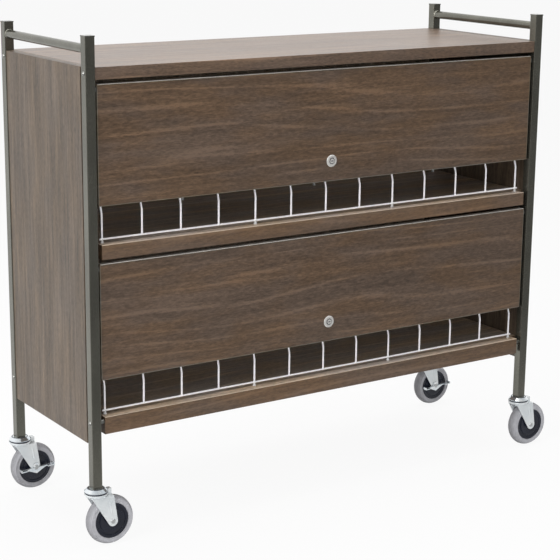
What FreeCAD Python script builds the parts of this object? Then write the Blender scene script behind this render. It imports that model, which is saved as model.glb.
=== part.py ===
import FreeCAD, Part
import math
import os
import Sketcher

# Medical chart rack: a wheeled square-tube frame with two tiers of wire dividers behind
# receding doors.  Millimetres and degrees, +Z up, +X to the right of someone who faces the
# doors.  The origin is on the floor, at the middle of the whole rack's outline.

V = FreeCAD.Vector
doc = FreeCAD.newDocument("ChartRack")

# ---------------------------------------------------------------- driving sizes
SIZES = {
    # frame: outer size over the posts, square tube and its end fittings
    "rack_width": 1414.0,
    "rack_depth": 475.0,
    "rack_height": 1265.0,
    "post_side": 25.4,
    "post_wall": 2.0,
    "post_corner": 2.5,
    "cap_thickness": 3.0,
    "cap_plug_height": 14.0,
    "cap_plug_gap": 0.15,
    "foot_plug_height": 40.0,
    "handle_diameter": 22.2,
    "handle_wall": 1.5,
    "handle_drop": 32.0,
    "bead_width": 1.5,
    "bead_length": 2.5,
    # bolts through the posts into the boards
    "bolt_diameter": 6.0,
    "bolt_head_diameter": 12.0,
    "bolt_head_height": 3.5,
    "bolt_grip": 25.0,
    "bolt_gap": 0.1,
    "spacer_diameter": 12.0,
    # boards
    "joint_gap": 0.4,
    "top_drop": 73.5,
    "top_thickness": 29.5,
    "top_setback": 3.0,
    "top_rail_inset": 29.0,
    "edge_round": 1.2,
    "skin_inset": 2.5,
    "skin_thickness": 4.0,
    "skin_front_gap": 8.6,
    "skin_hang": 24.5,
    "wall_thickness": 12.0,
    "middle_shelf_thickness": 36.0,
    "bottom_shelf_height": 334.0,
    "bottom_board": 25.0,
    "apron_height": 44.0,
    "apron_thickness": 22.0,
    "shelf_setback": 5.0,
    "shelf_reveal": 12.0,
    "back_thickness": 12.0,
    # doors
    "open_strip": 94.5,
    "door_thickness": 19.0,
    "door_setback": 7.0,
    "door_side_gap": 6.1,
    "door_head_gap": 11.5,
    "pivot_drop": 12.0,
    "pivot_pin_diameter": 6.0,
    "pivot_pin_reach": 24.0,
    "bush_diameter": 12.0,
    "bush_length": 28.0,
    "bush_gap": 0.1,
    "running_gap": 0.05,
    "retract_margin": 2.0,
    # receding slides
    "runner_height": 24.0,
    "runner_depth": 9.0,
    "runner_wall": 1.5,
    "runner_front_gap": 1.6,
    "runner_end_gap": 3.0,
    "carriage_plate": 2.0,
    "carriage_plate_gap": 1.3,
    "carriage_plate_height": 20.0,
    "carriage_nose": 9.0,
    "carriage_bar_side": 12.0,
    "carriage_bar_offset": 25.5,
    "glide_length": 24.0,
    "glide_spacing": 50.0,
    "glide_offset": 34.0,
    "glide_gap": 0.3,
    # door locks
    "lock_height": 53.0,
    "lock_face_diameter": 32.0,
    "lock_face_height": 3.5,
    "lock_rim_height": 1.2,
    "lock_barrel_diameter": 19.0,
    "lock_barrel_reach": 7.5,
    "lock_plug_diameter": 13.0,
    "lock_tail_side": 7.0,
    "lock_head_diameter": 9.5,
    "lock_head_height": 2.0,
    "keyway_width": 2.4,
    "keyway_length": 6.8,
    "keyway_depth": 4.0,
    "lock_nut_side": 13.5,
    "lock_nut_thickness": 5.0,
    "cam_gap": 1.5,
    "cam_thickness": 2.0,
    "cam_length": 33.0,
    "cam_width": 13.0,
    "keeper_wire": 4.0,
    "keeper_height": 24.0,
    "keeper_reach": 10.0,
    "keeper_back": 16.0,
    "keeper_front_gap": 5.5,
    "keeper_bend": 5.0,
    # wire dividers
    "divider_count": 13,
    "divider_pitch": 109.5,
    "wire_diameter": 5.0,
    "divider_front": 30.0,
    "divider_depth": 370.0,
    "divider_height": 215.0,
    "divider_lean": 18.0,
    "rail_height": 9.6,
    "rail_overhang": 4.5,
    "wire_upright": 62.0,
    "wire_bend": 22.0,
    "saddle_depth": 1.5,
    "foot_diameter": 9.6,
    "foot_neck_diameter": 6.4,
    "foot_lip": 1.2,
    "foot_flare": 4.0,
    "foot_every": 4,
    # casters
    "wheel_diameter": 127.0,
    "wheel_width": 32.0,
    "tread_drop": 6.5,
    "tyre_seat_width": 30.0,
    "hub_diameter": 92.0,
    "hub_face_width": 28.0,
    "hub_boss_diameter": 22.0,
    "hub_groove_diameter": 66.0,
    "hub_groove_width": 5.0,
    "hub_groove_depth": 2.5,
    "axle_diameter": 8.0,
    "axle_head_diameter": 13.0,
    "axle_head_height": 2.0,
    "axle_nut_height": 4.5,
    "caster_trail": 36.0,
    "wheel_side_gap": 0.4,
    "boss_width": 35.2,
    "leg_thickness": 3.0,
    "leg_end_radius": 13.0,
    "leg_back": 19.0,
    "leg_front": 39.7,
    "wheel_clearance": 2.5,
    "crown_thickness": 3.0,
    "race_diameter": 58.0,
    "race_bevel": 7.0,
    "race_lip": 3.5,
    "race_seam": 2.0,
    "race_ring_width": 3.0,
    "race_ring_depth": 2.4,
    "lower_race_height": 9.0,
    "race_gap": 1.0,
    "upper_race_height": 10.5,
    "kingpin_diameter": 12.0,
    "kingpin_head_diameter": 18.0,
    "kingpin_head_height": 2.7,
    "kingpin_head_gap": 0.3,
    "stem_length": 35.0,
    "stop_block_length": 10.0,
    "stop_block_width": 14.0,
    "stop_block_height": 14.0,
    "stop_block_gap": 0.8,
    # brake levers
    "lever_length": 98.0,
    "lever_thickness": 2.4,
    "lever_dip": 17.0,
    "lever_web_half": 32.0,
    "lever_ear_height": 12.0,
    "lever_ear_half": 11.0,
    "lever_flange": 5.0,
    "lever_pad_length": 20.0,
    "lever_pad_width": 15.0,
    "lever_pad_lip": 6.0,
    "lever_gap": 0.3,
    "lever_tilt": 3.8,
}

sheet = doc.addObject("Spreadsheet::Sheet", "Sizes")
for row, (name, number) in enumerate(SIZES.items(), start=1):
    sheet.set(f"A{row}", name)
    sheet.set(f"B{row}", str(number))
    sheet.setAlias(f"B{row}", name)
doc.recompute()


# ---------------------------------------------------------------- sizes as formulas
class Size:
    """A number worked out from the sheet, kept together with the formula that gives it."""

    def __init__(self, formula, value):
        self.formula = formula
        self.value = value

    def __add__(self, other):
        other = as_size(other)
        return Size(f"({self.formula} + {other.formula})", self.value + other.value)

    def __radd__(self, other):
        return as_size(other) + self

    def __sub__(self, other):
        other = as_size(other)
        return Size(f"({self.formula} - {other.formula})", self.value - other.value)

    def __rsub__(self, other):
        return as_size(other) - self

    def __mul__(self, other):
        other = as_size(other)
        return Size(f"({self.formula} * {other.formula})", self.value * other.value)

    def __rmul__(self, other):
        return as_size(other) * self

    def __truediv__(self, other):
        other = as_size(other)
        return Size(f"({self.formula} / {other.formula})", self.value / other.value)

    def __neg__(self):
        return Size(f"(0 - {self.formula})", -self.value)


def as_size(number):
    return number if isinstance(number, Size) else Size(repr(float(number)), float(number))


def tangent(angle):
    """The tangent of an angle that the sheet gives in degrees."""
    return Size(f"tan({angle.formula} * 1 deg)", math.tan(math.radians(angle.value)))


class Sheet:
    """Gives each cell of the sheet by its alias."""

    def __getattr__(self, alias):
        return Size(f"Sizes.{alias}", float(SIZES[alias]))


s = Sheet()

# ---------------------------------------------------------------- main planes
crown_bottom = s.wheel_diameter + s.wheel_clearance
crown_top = crown_bottom + s.crown_thickness
lower_race_top = crown_top + s.lower_race_height
upper_race_bottom = lower_race_top + s.race_gap
post_bottom = upper_race_bottom + s.upper_race_height
post_top = s.rack_height - s.cap_thickness

x_middle = (s.race_diameter / 2 - s.caster_trail - s.wheel_diameter / 2) / 2
left = x_middle - s.rack_width / 2
right = x_middle + s.rack_width / 2
front = -s.rack_depth / 2
back = s.rack_depth / 2

skin_back = s.skin_inset + s.skin_thickness
wall_back = skin_back + s.wall_thickness
handle_height = s.rack_height - s.handle_drop
top_height = s.rack_height - s.top_drop
top_bottom = top_height - s.top_thickness
tier_opening = (top_bottom - s.bottom_shelf_height - s.middle_shelf_thickness) / 2
middle_bottom = s.bottom_shelf_height + tier_opening
middle_height = middle_bottom + s.middle_shelf_thickness
apron_bottom = s.bottom_shelf_height - s.apron_height
skin_bottom = apron_bottom - s.skin_hang
back_panel_front = back - s.back_thickness
post_rear_face = front + s.post_side
rear_post_face = back - s.post_side
skin_front = post_rear_face + s.skin_front_gap

pivot_y = front + s.door_setback + s.door_thickness / 2
door_inset = s.post_side + s.door_side_gap
door_height = tier_opening - s.door_head_gap - s.open_strip
travel = door_height - s.pivot_drop + s.retract_margin
lock_back = front + s.door_setback + s.door_thickness + s.lock_barrel_reach

CORNERS = {
    "front_left": (-1, -1),
    "front_right": (1, -1),
    "rear_left": (-1, 1),
    "rear_right": (1, 1),
}
TIERS = {
    "upper": (top_bottom, middle_height),
    "lower": (middle_bottom, s.bottom_shelf_height),
}
SIDES = {"left": -1, "right": 1}

parts = []


# ---------------------------------------------------------------- building blocks
def bind(item, path, size):
    item.setExpression(path, as_size(size).formula)


def place(item, x=0, y=0, z=0):
    for axis, size in (("x", x), ("y", y), ("z", z)):
        bind(item, f"Placement.Base.{axis}", size)
    return item


def turn(item, axis, angle):
    item.Placement = FreeCAD.Placement(V(0, 0, 0), FreeCAD.Rotation(axis, angle))


def keep(item, label):
    """Name a finished sub-part after its file."""
    item.Label = label
    parts.append(item)
    return item


def inboard(side, inset):
    """The X of a plane that lies inset from the outer face of the posts on one side."""
    return left + inset if side < 0 else right - inset


def span(side, near, far):
    """Lowest and highest X of a piece from near to far inboard of one side."""
    low, high = inboard(side, near), inboard(side, far)
    return (low, high) if side < 0 else (high, low)


def corner_axis(corner):
    """X and Y of a post's centre line."""
    side, end = CORNERS[corner]
    x = inboard(side, s.post_side / 2)
    y = front + s.post_side / 2 if end < 0 else back - s.post_side / 2
    return x, y


def box(name, xs, ys, zs):
    item = doc.addObject("Part::Box", name)
    for path, (low, high) in (("Length", xs), ("Width", ys), ("Height", zs)):
        bind(item, path, high - low)
    return place(item, xs[0], ys[0], zs[0])


def rod(name, axis, diameter, start, length):
    """A cylinder that starts at a point and runs along +X, +Y or +Z."""
    item = doc.addObject("Part::Cylinder", name)
    bind(item, "Radius", diameter / 2)
    bind(item, "Height", length)
    if axis == "x":
        turn(item, V(0, 1, 0), 90)
    elif axis == "y":
        turn(item, V(1, 0, 0), -90)
    return place(item, *start)


def cut(name, base, tool):
    item = doc.addObject("Part::Cut", name)
    item.Base = base
    item.Tool = tool
    return item


def fuse(name, items):
    item = doc.addObject("Part::MultiFuse", name)
    item.Shapes = items
    item.Refine = True
    return item


def group(name, items):
    item = doc.addObject("Part::Compound", name)
    item.Links = items
    return item


def new_body(name):
    return doc.addObject("PartDesign::Body", name)


def origin_item(body, role):
    return next(item for item in body.Origin.OriginFeatures if item.Role == role)


def new_sketch(body, role, offset=0):
    """A sketch on one of the body's planes, moved along that plane's normal."""
    sketch = body.newObject("Sketcher::SketchObject", body.Name + "_sketch")
    sketch.AttachmentSupport = (origin_item(body, role), [""])
    sketch.MapMode = "FlatFace"
    bind(sketch, "AttachmentOffset.Base.z", offset)
    return sketch


def hold(sketch, index, point, x, y):
    """Tie one point of a sketch line to its distances from the sketch's origin."""
    for kind, size in (("DistanceX", as_size(x)), ("DistanceY", as_size(y))):
        number = sketch.addConstraint(Sketcher.Constraint(kind, -1, 1, index, point, size.value))
        sketch.setExpression(f"Constraints[{number}]", size.formula)


def give_radius(sketch, index, radius):
    number = sketch.addConstraint(Sketcher.Constraint("Radius", index, radius.value))
    sketch.setExpression(f"Constraints[{number}]", radius.formula)


def arc_between(start, end, radius):
    """The short arc that turns anticlockwise from start to end."""
    chord = end - start
    rise = math.sqrt(radius ** 2 - (chord.Length / 2) ** 2)
    sideways = V(-chord.y, chord.x, 0).normalize()
    centre = start + chord / 2 + sideways * rise
    angles = [math.atan2(p.y - centre.y, p.x - centre.x) for p in (start, end)]
    return Part.ArcOfCircle(Part.Circle(centre, V(0, 0, 1), radius), *angles)


def draw_loop(sketch, corners):
    """A closed loop of lines; a corner's third entry bows the edge after it outwards."""
    base = sketch.GeometryCount
    count = len(corners)
    points = [V(as_size(c[0]).value, as_size(c[1]).value, 0) for c in corners]
    for i, corner in enumerate(corners):
        ends = points[i], points[(i + 1) % count]
        if len(corner) == 3:
            sketch.addGeometry(arc_between(*ends, corner[2].value), False)
        else:
            sketch.addGeometry(Part.LineSegment(*ends), False)
    for i in range(count):
        following = base + (i + 1) % count
        sketch.addConstraint(Sketcher.Constraint("Coincident", base + i, 2, following, 1))
    for i, corner in enumerate(corners):
        hold(sketch, base + i, 1, corner[0], corner[1])
        if len(corner) == 3:
            give_radius(sketch, base + i, corner[2])


def draw_circle(sketch, x, y, diameter):
    x, y = as_size(x), as_size(y)
    circle = Part.Circle(V(x.value, y.value, 0), V(0, 0, 1), diameter.value / 2)
    index = sketch.addGeometry(circle, False)
    hold(sketch, index, 3, x, y)
    give_radius(sketch, index, diameter / 2)


def rectangle(xs, ys):
    return [(xs[0], ys[0]), (xs[1], ys[0]), (xs[1], ys[1]), (xs[0], ys[1])]


def draw_path(sketch, corners, radius):
    """An open run of straight lines through the corners, with equal tangent bends."""
    points = [V(as_size(x).value, as_size(y).value, 0) for x, y in corners]
    runs = [(b - a).normalize() for a, b in zip(points, points[1:])]
    setbacks = [0.0]
    for before, after in zip(runs, runs[1:]):
        setbacks.append(radius.value * math.tan(before.getAngle(after) / 2))
    setbacks.append(0.0)
    for i, run in enumerate(runs):
        start = points[i] + run * setbacks[i]
        end = points[i + 1] - run * setbacks[i + 1]
        sketch.addGeometry(Part.LineSegment(start, end), False)
    for i in range(len(runs) - 1):
        start = points[i + 1] - runs[i] * setbacks[i + 1]
        end = points[i + 1] + runs[i + 1] * setbacks[i + 1]
        clockwise = runs[i].cross(runs[i + 1]).z < 0
        arc = arc_between(end, start, radius.value) if clockwise else arc_between(start, end, radius.value)
        bend = sketch.addGeometry(arc, False)
        ends = (2, 1) if clockwise else (1, 2)
        sketch.addConstraint(Sketcher.Constraint("Tangent", i, 2, bend, ends[0]))
        sketch.addConstraint(Sketcher.Constraint("Tangent", i + 1, 1, bend, ends[1]))
        give_radius(sketch, bend, radius)
        corner = sketch.addGeometry(Part.Point(points[i + 1]), True)
        hold(sketch, corner, 1, *corners[i + 1])
        sketch.addConstraint(Sketcher.Constraint("PointOnObject", corner, 1, i))
        sketch.addConstraint(Sketcher.Constraint("PointOnObject", corner, 1, i + 1))
    hold(sketch, 0, 1, *corners[0])
    hold(sketch, len(runs) - 1, 2, *corners[-1])


def pad(body, sketch, length):
    """Grow a sketch along its plane's normal: +X, -Y or +Z."""
    feature = body.newObject("PartDesign::Pad", body.Name + "_pad")
    feature.Profile = sketch
    bind(feature, "Length", length)
    return feature


def pocket(body, sketch, length):
    """Cut a sketch against its plane's normal, and make sure that it removed material."""
    doc.recompute()
    before = body.Shape.Volume
    feature = body.newObject("PartDesign::Pocket", body.Name + "_pocket")
    feature.Profile = sketch
    bind(feature, "Length", length)
    doc.recompute()
    if not body.Shape.Volume < before:
        raise RuntimeError(f"{body.Name}: a pocket removed nothing")
    return feature


def round_edges(body, radius, wanted):
    """Fillet the edges of the body's last feature that wanted(edge) picks."""
    doc.recompute()
    base = body.Tip
    names = [f"Edge{i}" for i, edge in enumerate(base.Shape.Edges, start=1) if wanted(edge)]
    feature = body.newObject("PartDesign::Fillet", body.Name + "_round")
    feature.Base = (base, names)
    bind(feature, "Radius", radius)
    return feature


def runs_along(edge, direction):
    """Whether an edge is straight and parallel to a direction."""
    if edge.Curve.TypeId != "Part::GeomLine":
        return False
    return abs(edge.tangentAt(edge.FirstParameter).dot(direction)) > 0.999


def turned(name, profile):
    """A body of revolution about its own Z axis, from corners given as (radius, height)."""
    body = new_body(name)
    sketch = new_sketch(body, "XZ_Plane")
    draw_loop(sketch, profile)
    feature = body.newObject("PartDesign::Revolution", name + "_turn")
    feature.Profile = sketch
    feature.ReferenceAxis = (sketch, ["V_Axis"])
    feature.Angle = 360
    return body


def extruded(name, plane, start, length, corners, holes=()):
    """A body padded from one outline with round holes."""
    body = new_body(name)
    sketch = new_sketch(body, plane, start)
    draw_loop(sketch, corners)
    for hole in holes:
        draw_circle(sketch, *hole)
    pad(body, sketch, length)
    return body


def bore_ends(body, ends, height, reach):
    """Bolt holes along X into both ends of a board; ends are (inset, y) pairs."""
    for inset, y in ends:
        for side in SIDES.values():
            low, high = span(side, inset, inset + reach)
            sketch = new_sketch(body, "YZ_Plane", high)
            draw_circle(sketch, y, height, s.bolt_diameter + 2 * s.bolt_gap)
            pocket(body, sketch, high - low)


# ---------------------------------------------------------------- frame
bolt_ys = (front + s.post_side / 2, back - s.post_side / 2)
upper_bolt_z = top_height - s.top_thickness / 2
lower_bolt_z = s.bottom_shelf_height - s.bottom_board / 2


def make_post(corner):
    """Square tube with a welded foot plug that takes the caster stem, and two bolt holes."""
    half = s.post_side / 2
    inner = half - s.post_wall
    body = new_body(corner + "_post")
    sketch = new_sketch(body, "XY_Plane", post_bottom)
    draw_loop(sketch, rectangle((-half, half), (-half, half)))
    draw_loop(sketch, rectangle((-inner, inner), (-inner, inner)))
    pad(body, sketch, post_top - post_bottom)
    round_edges(body, s.post_corner, lambda edge: is_outer_corner(edge, half))
    plug = new_sketch(body, "XY_Plane", post_bottom)
    draw_loop(plug, rectangle((-inner, inner), (-inner, inner)))
    draw_circle(plug, 0, 0, s.kingpin_diameter + 2 * s.running_gap)
    pad(body, plug, s.foot_plug_height)
    for height in (upper_bolt_z, lower_bolt_z):
        sketch = new_sketch(body, "YZ_Plane", half)
        draw_circle(sketch, 0, height, s.bolt_diameter + 2 * s.bolt_gap)
        pocket(body, sketch, s.post_side)
    x, y = corner_axis(corner)
    keep(place(body, x, y), corner + "_post")


def is_outer_corner(edge, half):
    middle = edge.CenterOfMass
    on_corner = min(abs(middle.x), abs(middle.y)) > half.value - 0.01
    return on_corner and runs_along(edge, V(0, 0, 1))


def make_post_caps():
    """Flat caps whose plugs sit in the tubes."""
    caps = []
    half = s.post_side / 2
    inner = half - s.post_wall - s.cap_plug_gap
    for corner in CORNERS:
        x, y = corner_axis(corner)
        plate = box(corner + "_cap_plate", (x - half, x + half), (y - half, y + half),
                    (post_top, s.rack_height))
        plug = box(corner + "_cap_plug", (x - inner, x + inner), (y - inner, y + inner),
                   (post_top - s.cap_plug_height, post_top))
        caps.append(fuse(corner + "_cap", [plate, plug]))
    keep(group("caps", caps), "post_caps")


def make_handle(side_name):
    """Round grip tube between the posts of one side, with a weld bead at each end."""
    outer = s.handle_diameter / 2
    inner = outer - s.handle_wall
    bead = outer + s.bead_width
    length = rear_post_face - post_rear_face
    profile = [
        (inner, 0),
        (bead, 0),
        (outer, s.bead_length),
        (outer, length - s.bead_length),
        (bead, length),
        (inner, length),
    ]
    body = turned(side_name + "_handle", profile)
    turn(body, V(1, 0, 0), -90)
    place(body, inboard(SIDES[side_name], s.post_side / 2), post_rear_face, handle_height)
    keep(body, side_name + "_handle_tube")


def make_bolt(name, side, y, z):
    """Bolt along X whose domed head sits against the post's outer face."""
    head = s.bolt_head_diameter / 2
    rise = s.bolt_head_height
    dome = (head * head + rise * rise) / (2 * rise)
    pin = s.bolt_diameter / 2
    reach = s.post_side + s.bolt_grip
    profile = [
        (0, -rise, dome),
        (head, 0),
        (pin, 0),
        (pin, reach),
        (0, reach),
    ]
    body = turned(name, profile)
    turn(body, V(0, 1, 0), -90 * side)
    return place(body, inboard(side, 0), y, z)


def make_bolts():
    """Round-headed bolts through every post, with spacers beside the recessed bottom shelf."""
    bolts = []
    for side_name, side in SIDES.items():
        for y in bolt_ys:
            for z in (upper_bolt_z, lower_bolt_z):
                bolts.append(make_bolt(side_name + "_bolt", side, y, z))
        low, high = span(side, s.post_side, s.post_side + s.shelf_reveal)
        start = (low, bolt_ys[0], lower_bolt_z)
        sleeve = rod(side_name + "_sleeve", "x", s.spacer_diameter, start, high - low)
        bore = rod(side_name + "_sleeve_bore", "x", s.bolt_diameter + 2 * s.bolt_gap, start, high - low)
        bolts.append(cut(side_name + "_spacer", sleeve, bore))
    keep(group("bolts", bolts), "post_bolts")


# ---------------------------------------------------------------- boards
def board_corners(front_y, rear_y, front_inset, notch_y, middle_inset, rear_inset):
    """A board's plan, narrower where it passes between the front and the rear posts."""
    half = [
        (front_inset, front_y),
        (front_inset, notch_y),
        (middle_inset, notch_y),
        (middle_inset, rear_post_face),
        (rear_inset, rear_post_face),
        (rear_inset, rear_y),
    ]
    left_half = [(inboard(-1, inset), y) for inset, y in half]
    right_half = [(inboard(1, inset), y) for inset, y in half]
    return left_half + right_half[::-1]


def front_edges(edge, y):
    """The long edges of a board's front face."""
    return runs_along(edge, V(1, 0, 0)) and abs(edge.CenterOfMass.y - y.value) < 0.01


def seam_edges(edge, inset):
    """The upper edges, at an inset from the rack's sides, where the worktop meets the top rails."""
    middle = edge.CenterOfMass
    off_side = abs(abs(middle.x - x_middle.value) + inset.value - s.rack_width.value / 2)
    on_top = abs(middle.z - top_height.value) < 0.01
    return runs_along(edge, V(0, 1, 0)) and on_top and off_side < 0.01


def make_top_panel():
    """Worktop between the rails of the side walls, reaching out to the posts at both ends."""
    between_posts = s.post_side + s.joint_gap
    beside_rail = s.top_rail_inset + s.joint_gap
    face = front + s.top_setback
    corners = board_corners(face, back, between_posts, post_rear_face, beside_rail, between_posts)
    body = extruded("top", "XY_Plane", top_bottom, s.top_thickness, corners)
    bore_ends(body, [(between_posts, y) for y in bolt_ys], upper_bolt_z, s.bolt_grip + s.joint_gap)
    round_edges(body, s.edge_round, lambda edge: front_edges(edge, face) or seam_edges(edge, beside_rail))
    keep(body, "top_panel")


def make_middle_shelf():
    """Shelf between the tiers, notched round the front posts and housed between the walls."""
    face = front + s.shelf_setback
    rear_inset = s.post_side + s.joint_gap
    corners = board_corners(face, back_panel_front, s.post_side + s.shelf_reveal, skin_front,
                            wall_back, rear_inset)
    body = extruded("shelf", "XY_Plane", middle_bottom, s.middle_shelf_thickness, corners)
    round_edges(body, s.edge_round, lambda edge: front_edges(edge, face))
    keep(body, "middle_shelf")


def make_bottom_shelf():
    """Bottom board with an apron under its front and rear edges."""
    face = front + s.shelf_setback
    front_inset = s.post_side + s.shelf_reveal
    rear_inset = s.post_side + s.joint_gap
    corners = board_corners(face, back, front_inset, skin_front, wall_back, rear_inset)
    body = extruded("base", "XY_Plane", apron_bottom, s.apron_height, corners)
    board_bottom = s.bottom_shelf_height - s.bottom_board
    sketch = new_sketch(body, "XY_Plane", board_bottom)
    draw_loop(sketch, rectangle((left, right), (face + s.apron_thickness, back - s.apron_thickness)))
    pocket(body, sketch, board_bottom - apron_bottom)
    ends = list(zip((front_inset, rear_inset), bolt_ys))
    bore_ends(body, ends, lower_bolt_z, s.bolt_grip)
    round_edges(body, s.edge_round, lambda edge: front_edges(edge, face))
    keep(body, "bottom_shelf")


def make_back_panel():
    """Panel between the rear posts, from the bottom shelf to the worktop."""
    inset = s.post_side + s.joint_gap
    xs = (inboard(-1, inset), inboard(1, inset))
    keep(box("backing", xs, (back_panel_front, back), (s.bottom_shelf_height, top_bottom)), "back_panel")


def make_side(side_name):
    """Side wall with its thicker top rail, and the thin skin that hangs outside it."""
    side = SIDES[side_name]
    x_out = inboard(side, skin_back)
    x_in = inboard(side, wall_back)
    x_rail = inboard(side, s.top_rail_inset)
    corners = [
        (x_out, apron_bottom),
        (x_in, apron_bottom),
        (x_in, top_bottom),
        (x_rail, top_bottom),
        (x_rail, top_height),
        (x_out, top_height),
    ]
    wall = extruded(side_name + "_wall", "XZ_Plane", -rear_post_face, rear_post_face - post_rear_face,
                    corners)
    round_edges(wall, s.edge_round, lambda edge: seam_edges(edge, s.top_rail_inset))
    keep(wall, side_name + "_side_wall")
    skin = box(side_name + "_skin", span(side, s.skin_inset, skin_back), (skin_front, rear_post_face),
               (skin_bottom, top_height))
    keep(skin, side_name + "_side_panel")


# ---------------------------------------------------------------- wire dividers
def make_dividers(tier):
    """Welded rack of wire hoops on two rails with flared feet, and the lock's keeper."""
    shelf = TIERS[tier][1]
    radius = s.wire_diameter / 2
    rail_z = shelf + s.rail_height
    wire_front = front + s.divider_front
    wire_back = wire_front + s.divider_depth
    first_x = x_middle - s.divider_pitch * (s.divider_count - 1) / 2
    bend_z = rail_z + s.wire_upright
    top_z = shelf + s.divider_height - radius
    lean_y = wire_front + (top_z - bend_z) * tangent(s.divider_lean)
    start_z = rail_z + radius - s.saddle_depth
    path = [
        (wire_front, start_z),
        (wire_front, bend_z),
        (lean_y, top_z),
        (wire_back, top_z),
        (wire_back, start_z),
    ]
    hoops = wire_body(tier + "_hoops", "YZ_Plane", path, s.wire_bend, s.wire_diameter,
                      ("XY_Plane", start_z, 0, wire_front))
    pattern = hoops.newObject("PartDesign::LinearPattern", tier + "_hoop_row")
    pattern.Originals = [hoops.Tip]
    pattern.Direction = (origin_item(hoops, "X_Axis"), [""])
    bind(pattern, "Length", s.divider_pitch * (s.divider_count - 1))
    bind(pattern, "Occurrences", s.divider_count)
    hoops.Tip = pattern
    place(hoops, first_x)

    rail_start = first_x - radius - s.rail_overhang
    rail_length = 2 * (x_middle - rail_start)
    rails = [rod(f"{tier}_rail", "x", s.wire_diameter, (rail_start, y, rail_z), rail_length)
             for y in (wire_front, wire_back)]
    rail_pair = group(tier + "_rail_pair", rails)

    door_bottom = TIERS[tier][0] - s.door_head_gap - door_height
    keeper_z = door_bottom + s.lock_height + s.keeper_height
    keeper_y = lock_back + s.cam_gap - s.keeper_front_gap + s.keeper_wire / 2
    wire_y = wire_front + (keeper_z - bend_z) * tangent(s.divider_lean)
    hook = [
        (x_middle, wire_y),
        (x_middle - s.keeper_back, wire_y),
        (x_middle - s.keeper_back, keeper_y),
        (x_middle + s.keeper_reach, keeper_y),
    ]
    keeper = wire_body(tier + "_keeper", "XY_Plane", hook, s.keeper_bend, s.keeper_wire,
                       ("YZ_Plane", x_middle, wire_y, keeper_z), keeper_z)
    welded = fuse(tier + "_welded", [hoops, keeper])
    saddled = cut(tier + "_saddled", welded, rail_pair)
    keep(group(tier + "_rack", [saddled] + rails), tier + "_divider_rack")

    foot = s.foot_diameter / 2
    neck = s.foot_neck_diameter / 2
    foot_profile = [
        (0, 0),
        (foot, 0),
        (foot, s.foot_lip),
        (neck, s.foot_flare),
        (neck, s.rail_height),
        (0, s.rail_height),
    ]
    feet = []
    count = int(SIZES["divider_count"])
    for index in range(0, count, int(SIZES["foot_every"])):
        for y in (wire_front, wire_back):
            x = first_x + s.divider_pitch * index
            feet.append(place(turned(tier + "_foot", foot_profile), x, y, shelf))
    keep(cut(tier + "_feet_saddled", group(tier + "_feet", feet), rail_pair), tier + "_divider_feet")


def wire_body(name, plane, path, bend, diameter, profile, offset=0):
    """Round wire along a bent path; profile gives the end's plane, its offset and its centre."""
    body = new_body(name)
    spine = new_sketch(body, plane, offset)
    draw_path(spine, path, bend)
    end_plane, end_offset, x, y = profile
    section = new_sketch(body, end_plane, end_offset)
    draw_circle(section, x, y, diameter)
    doc.recompute()
    pipe = body.newObject("PartDesign::AdditivePipe", name + "_wire")
    pipe.Profile = section
    pipe.Spine = (spine, [f"Edge{i}" for i in range(1, len(spine.Shape.Edges) + 1)])
    doc.recompute()
    return body


# ---------------------------------------------------------------- doors and slides
def pivot_height(tier):
    return TIERS[tier][0] - s.door_head_gap - s.pivot_drop


glide_start = pivot_y + s.glide_offset - s.glide_length / 2
glide_end = glide_start + s.glide_spacing + s.glide_length
plate_inset = door_inset - s.carriage_plate_gap - s.carriage_plate


def make_runners(tier):
    """Channel on each side wall, open towards the door, that the glides run in."""
    z = pivot_height(tier)
    half = s.runner_height / 2
    runner_front = post_rear_face + s.runner_front_gap
    runner_back = glide_end + travel + s.runner_end_gap
    channels = []
    for side_name, side in SIDES.items():
        base = inboard(side, wall_back)
        floor = inboard(side, wall_back + s.runner_wall)
        lip = inboard(side, wall_back + s.runner_depth)
        corners = [
            (base, z - half),
            (lip, z - half),
            (lip, z - half + s.runner_wall),
            (floor, z - half + s.runner_wall),
            (floor, z + half - s.runner_wall),
            (lip, z + half - s.runner_wall),
            (lip, z + half),
            (base, z + half),
        ]
        channels.append(extruded(f"{tier}_{side_name}_runner", "XZ_Plane", -runner_back,
                                 runner_back - runner_front, corners))
    keep(group(tier + "_runners", channels), tier + "_door_runners")


def make_carriage(tier):
    """Two side plates with hinge pins, joined behind the door by a square bar."""
    z = pivot_height(tier)
    half = s.carriage_plate_height / 2
    pieces = []
    for side_name, side in SIDES.items():
        name = f"{tier}_{side_name}"
        xs = span(side, plate_inset, plate_inset + s.carriage_plate)
        pieces.append(box(name + "_plate", xs, (pivot_y, glide_end), (z - half, z + half)))
        low, high = span(side, plate_inset, plate_inset + s.carriage_plate)
        pieces.append(rod(name + "_nose", "x", 2 * s.carriage_nose, (low, pivot_y, z), high - low))
        low, high = span(side, plate_inset, door_inset + s.pivot_pin_reach)
        pieces.append(rod(name + "_pin", "x", s.pivot_pin_diameter, (low, pivot_y, z), high - low))
    bar_y = pivot_y + s.carriage_bar_offset
    bar_half = s.carriage_bar_side / 2
    inset = plate_inset + s.carriage_plate
    pieces.append(box(tier + "_bar", (inboard(-1, inset), inboard(1, inset)),
                      (bar_y - bar_half, bar_y + bar_half), (z - bar_half, z + bar_half)))
    keep(fuse(tier + "_carriage", pieces), tier + "_carriage_bar")

    glides = []
    glide_half = s.runner_height / 2 - s.runner_wall - s.glide_gap
    for side_name, side in SIDES.items():
        xs = span(side, wall_back + s.runner_wall + s.glide_gap, plate_inset)
        for step in (0, 1):
            y = glide_start + s.glide_spacing * step
            glides.append(box(f"{tier}_{side_name}_glide", xs, (y, y + s.glide_length),
                              (z - glide_half, z + glide_half)))
    keep(group(tier + "_glides", glides), tier + "_carriage_glides")


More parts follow.
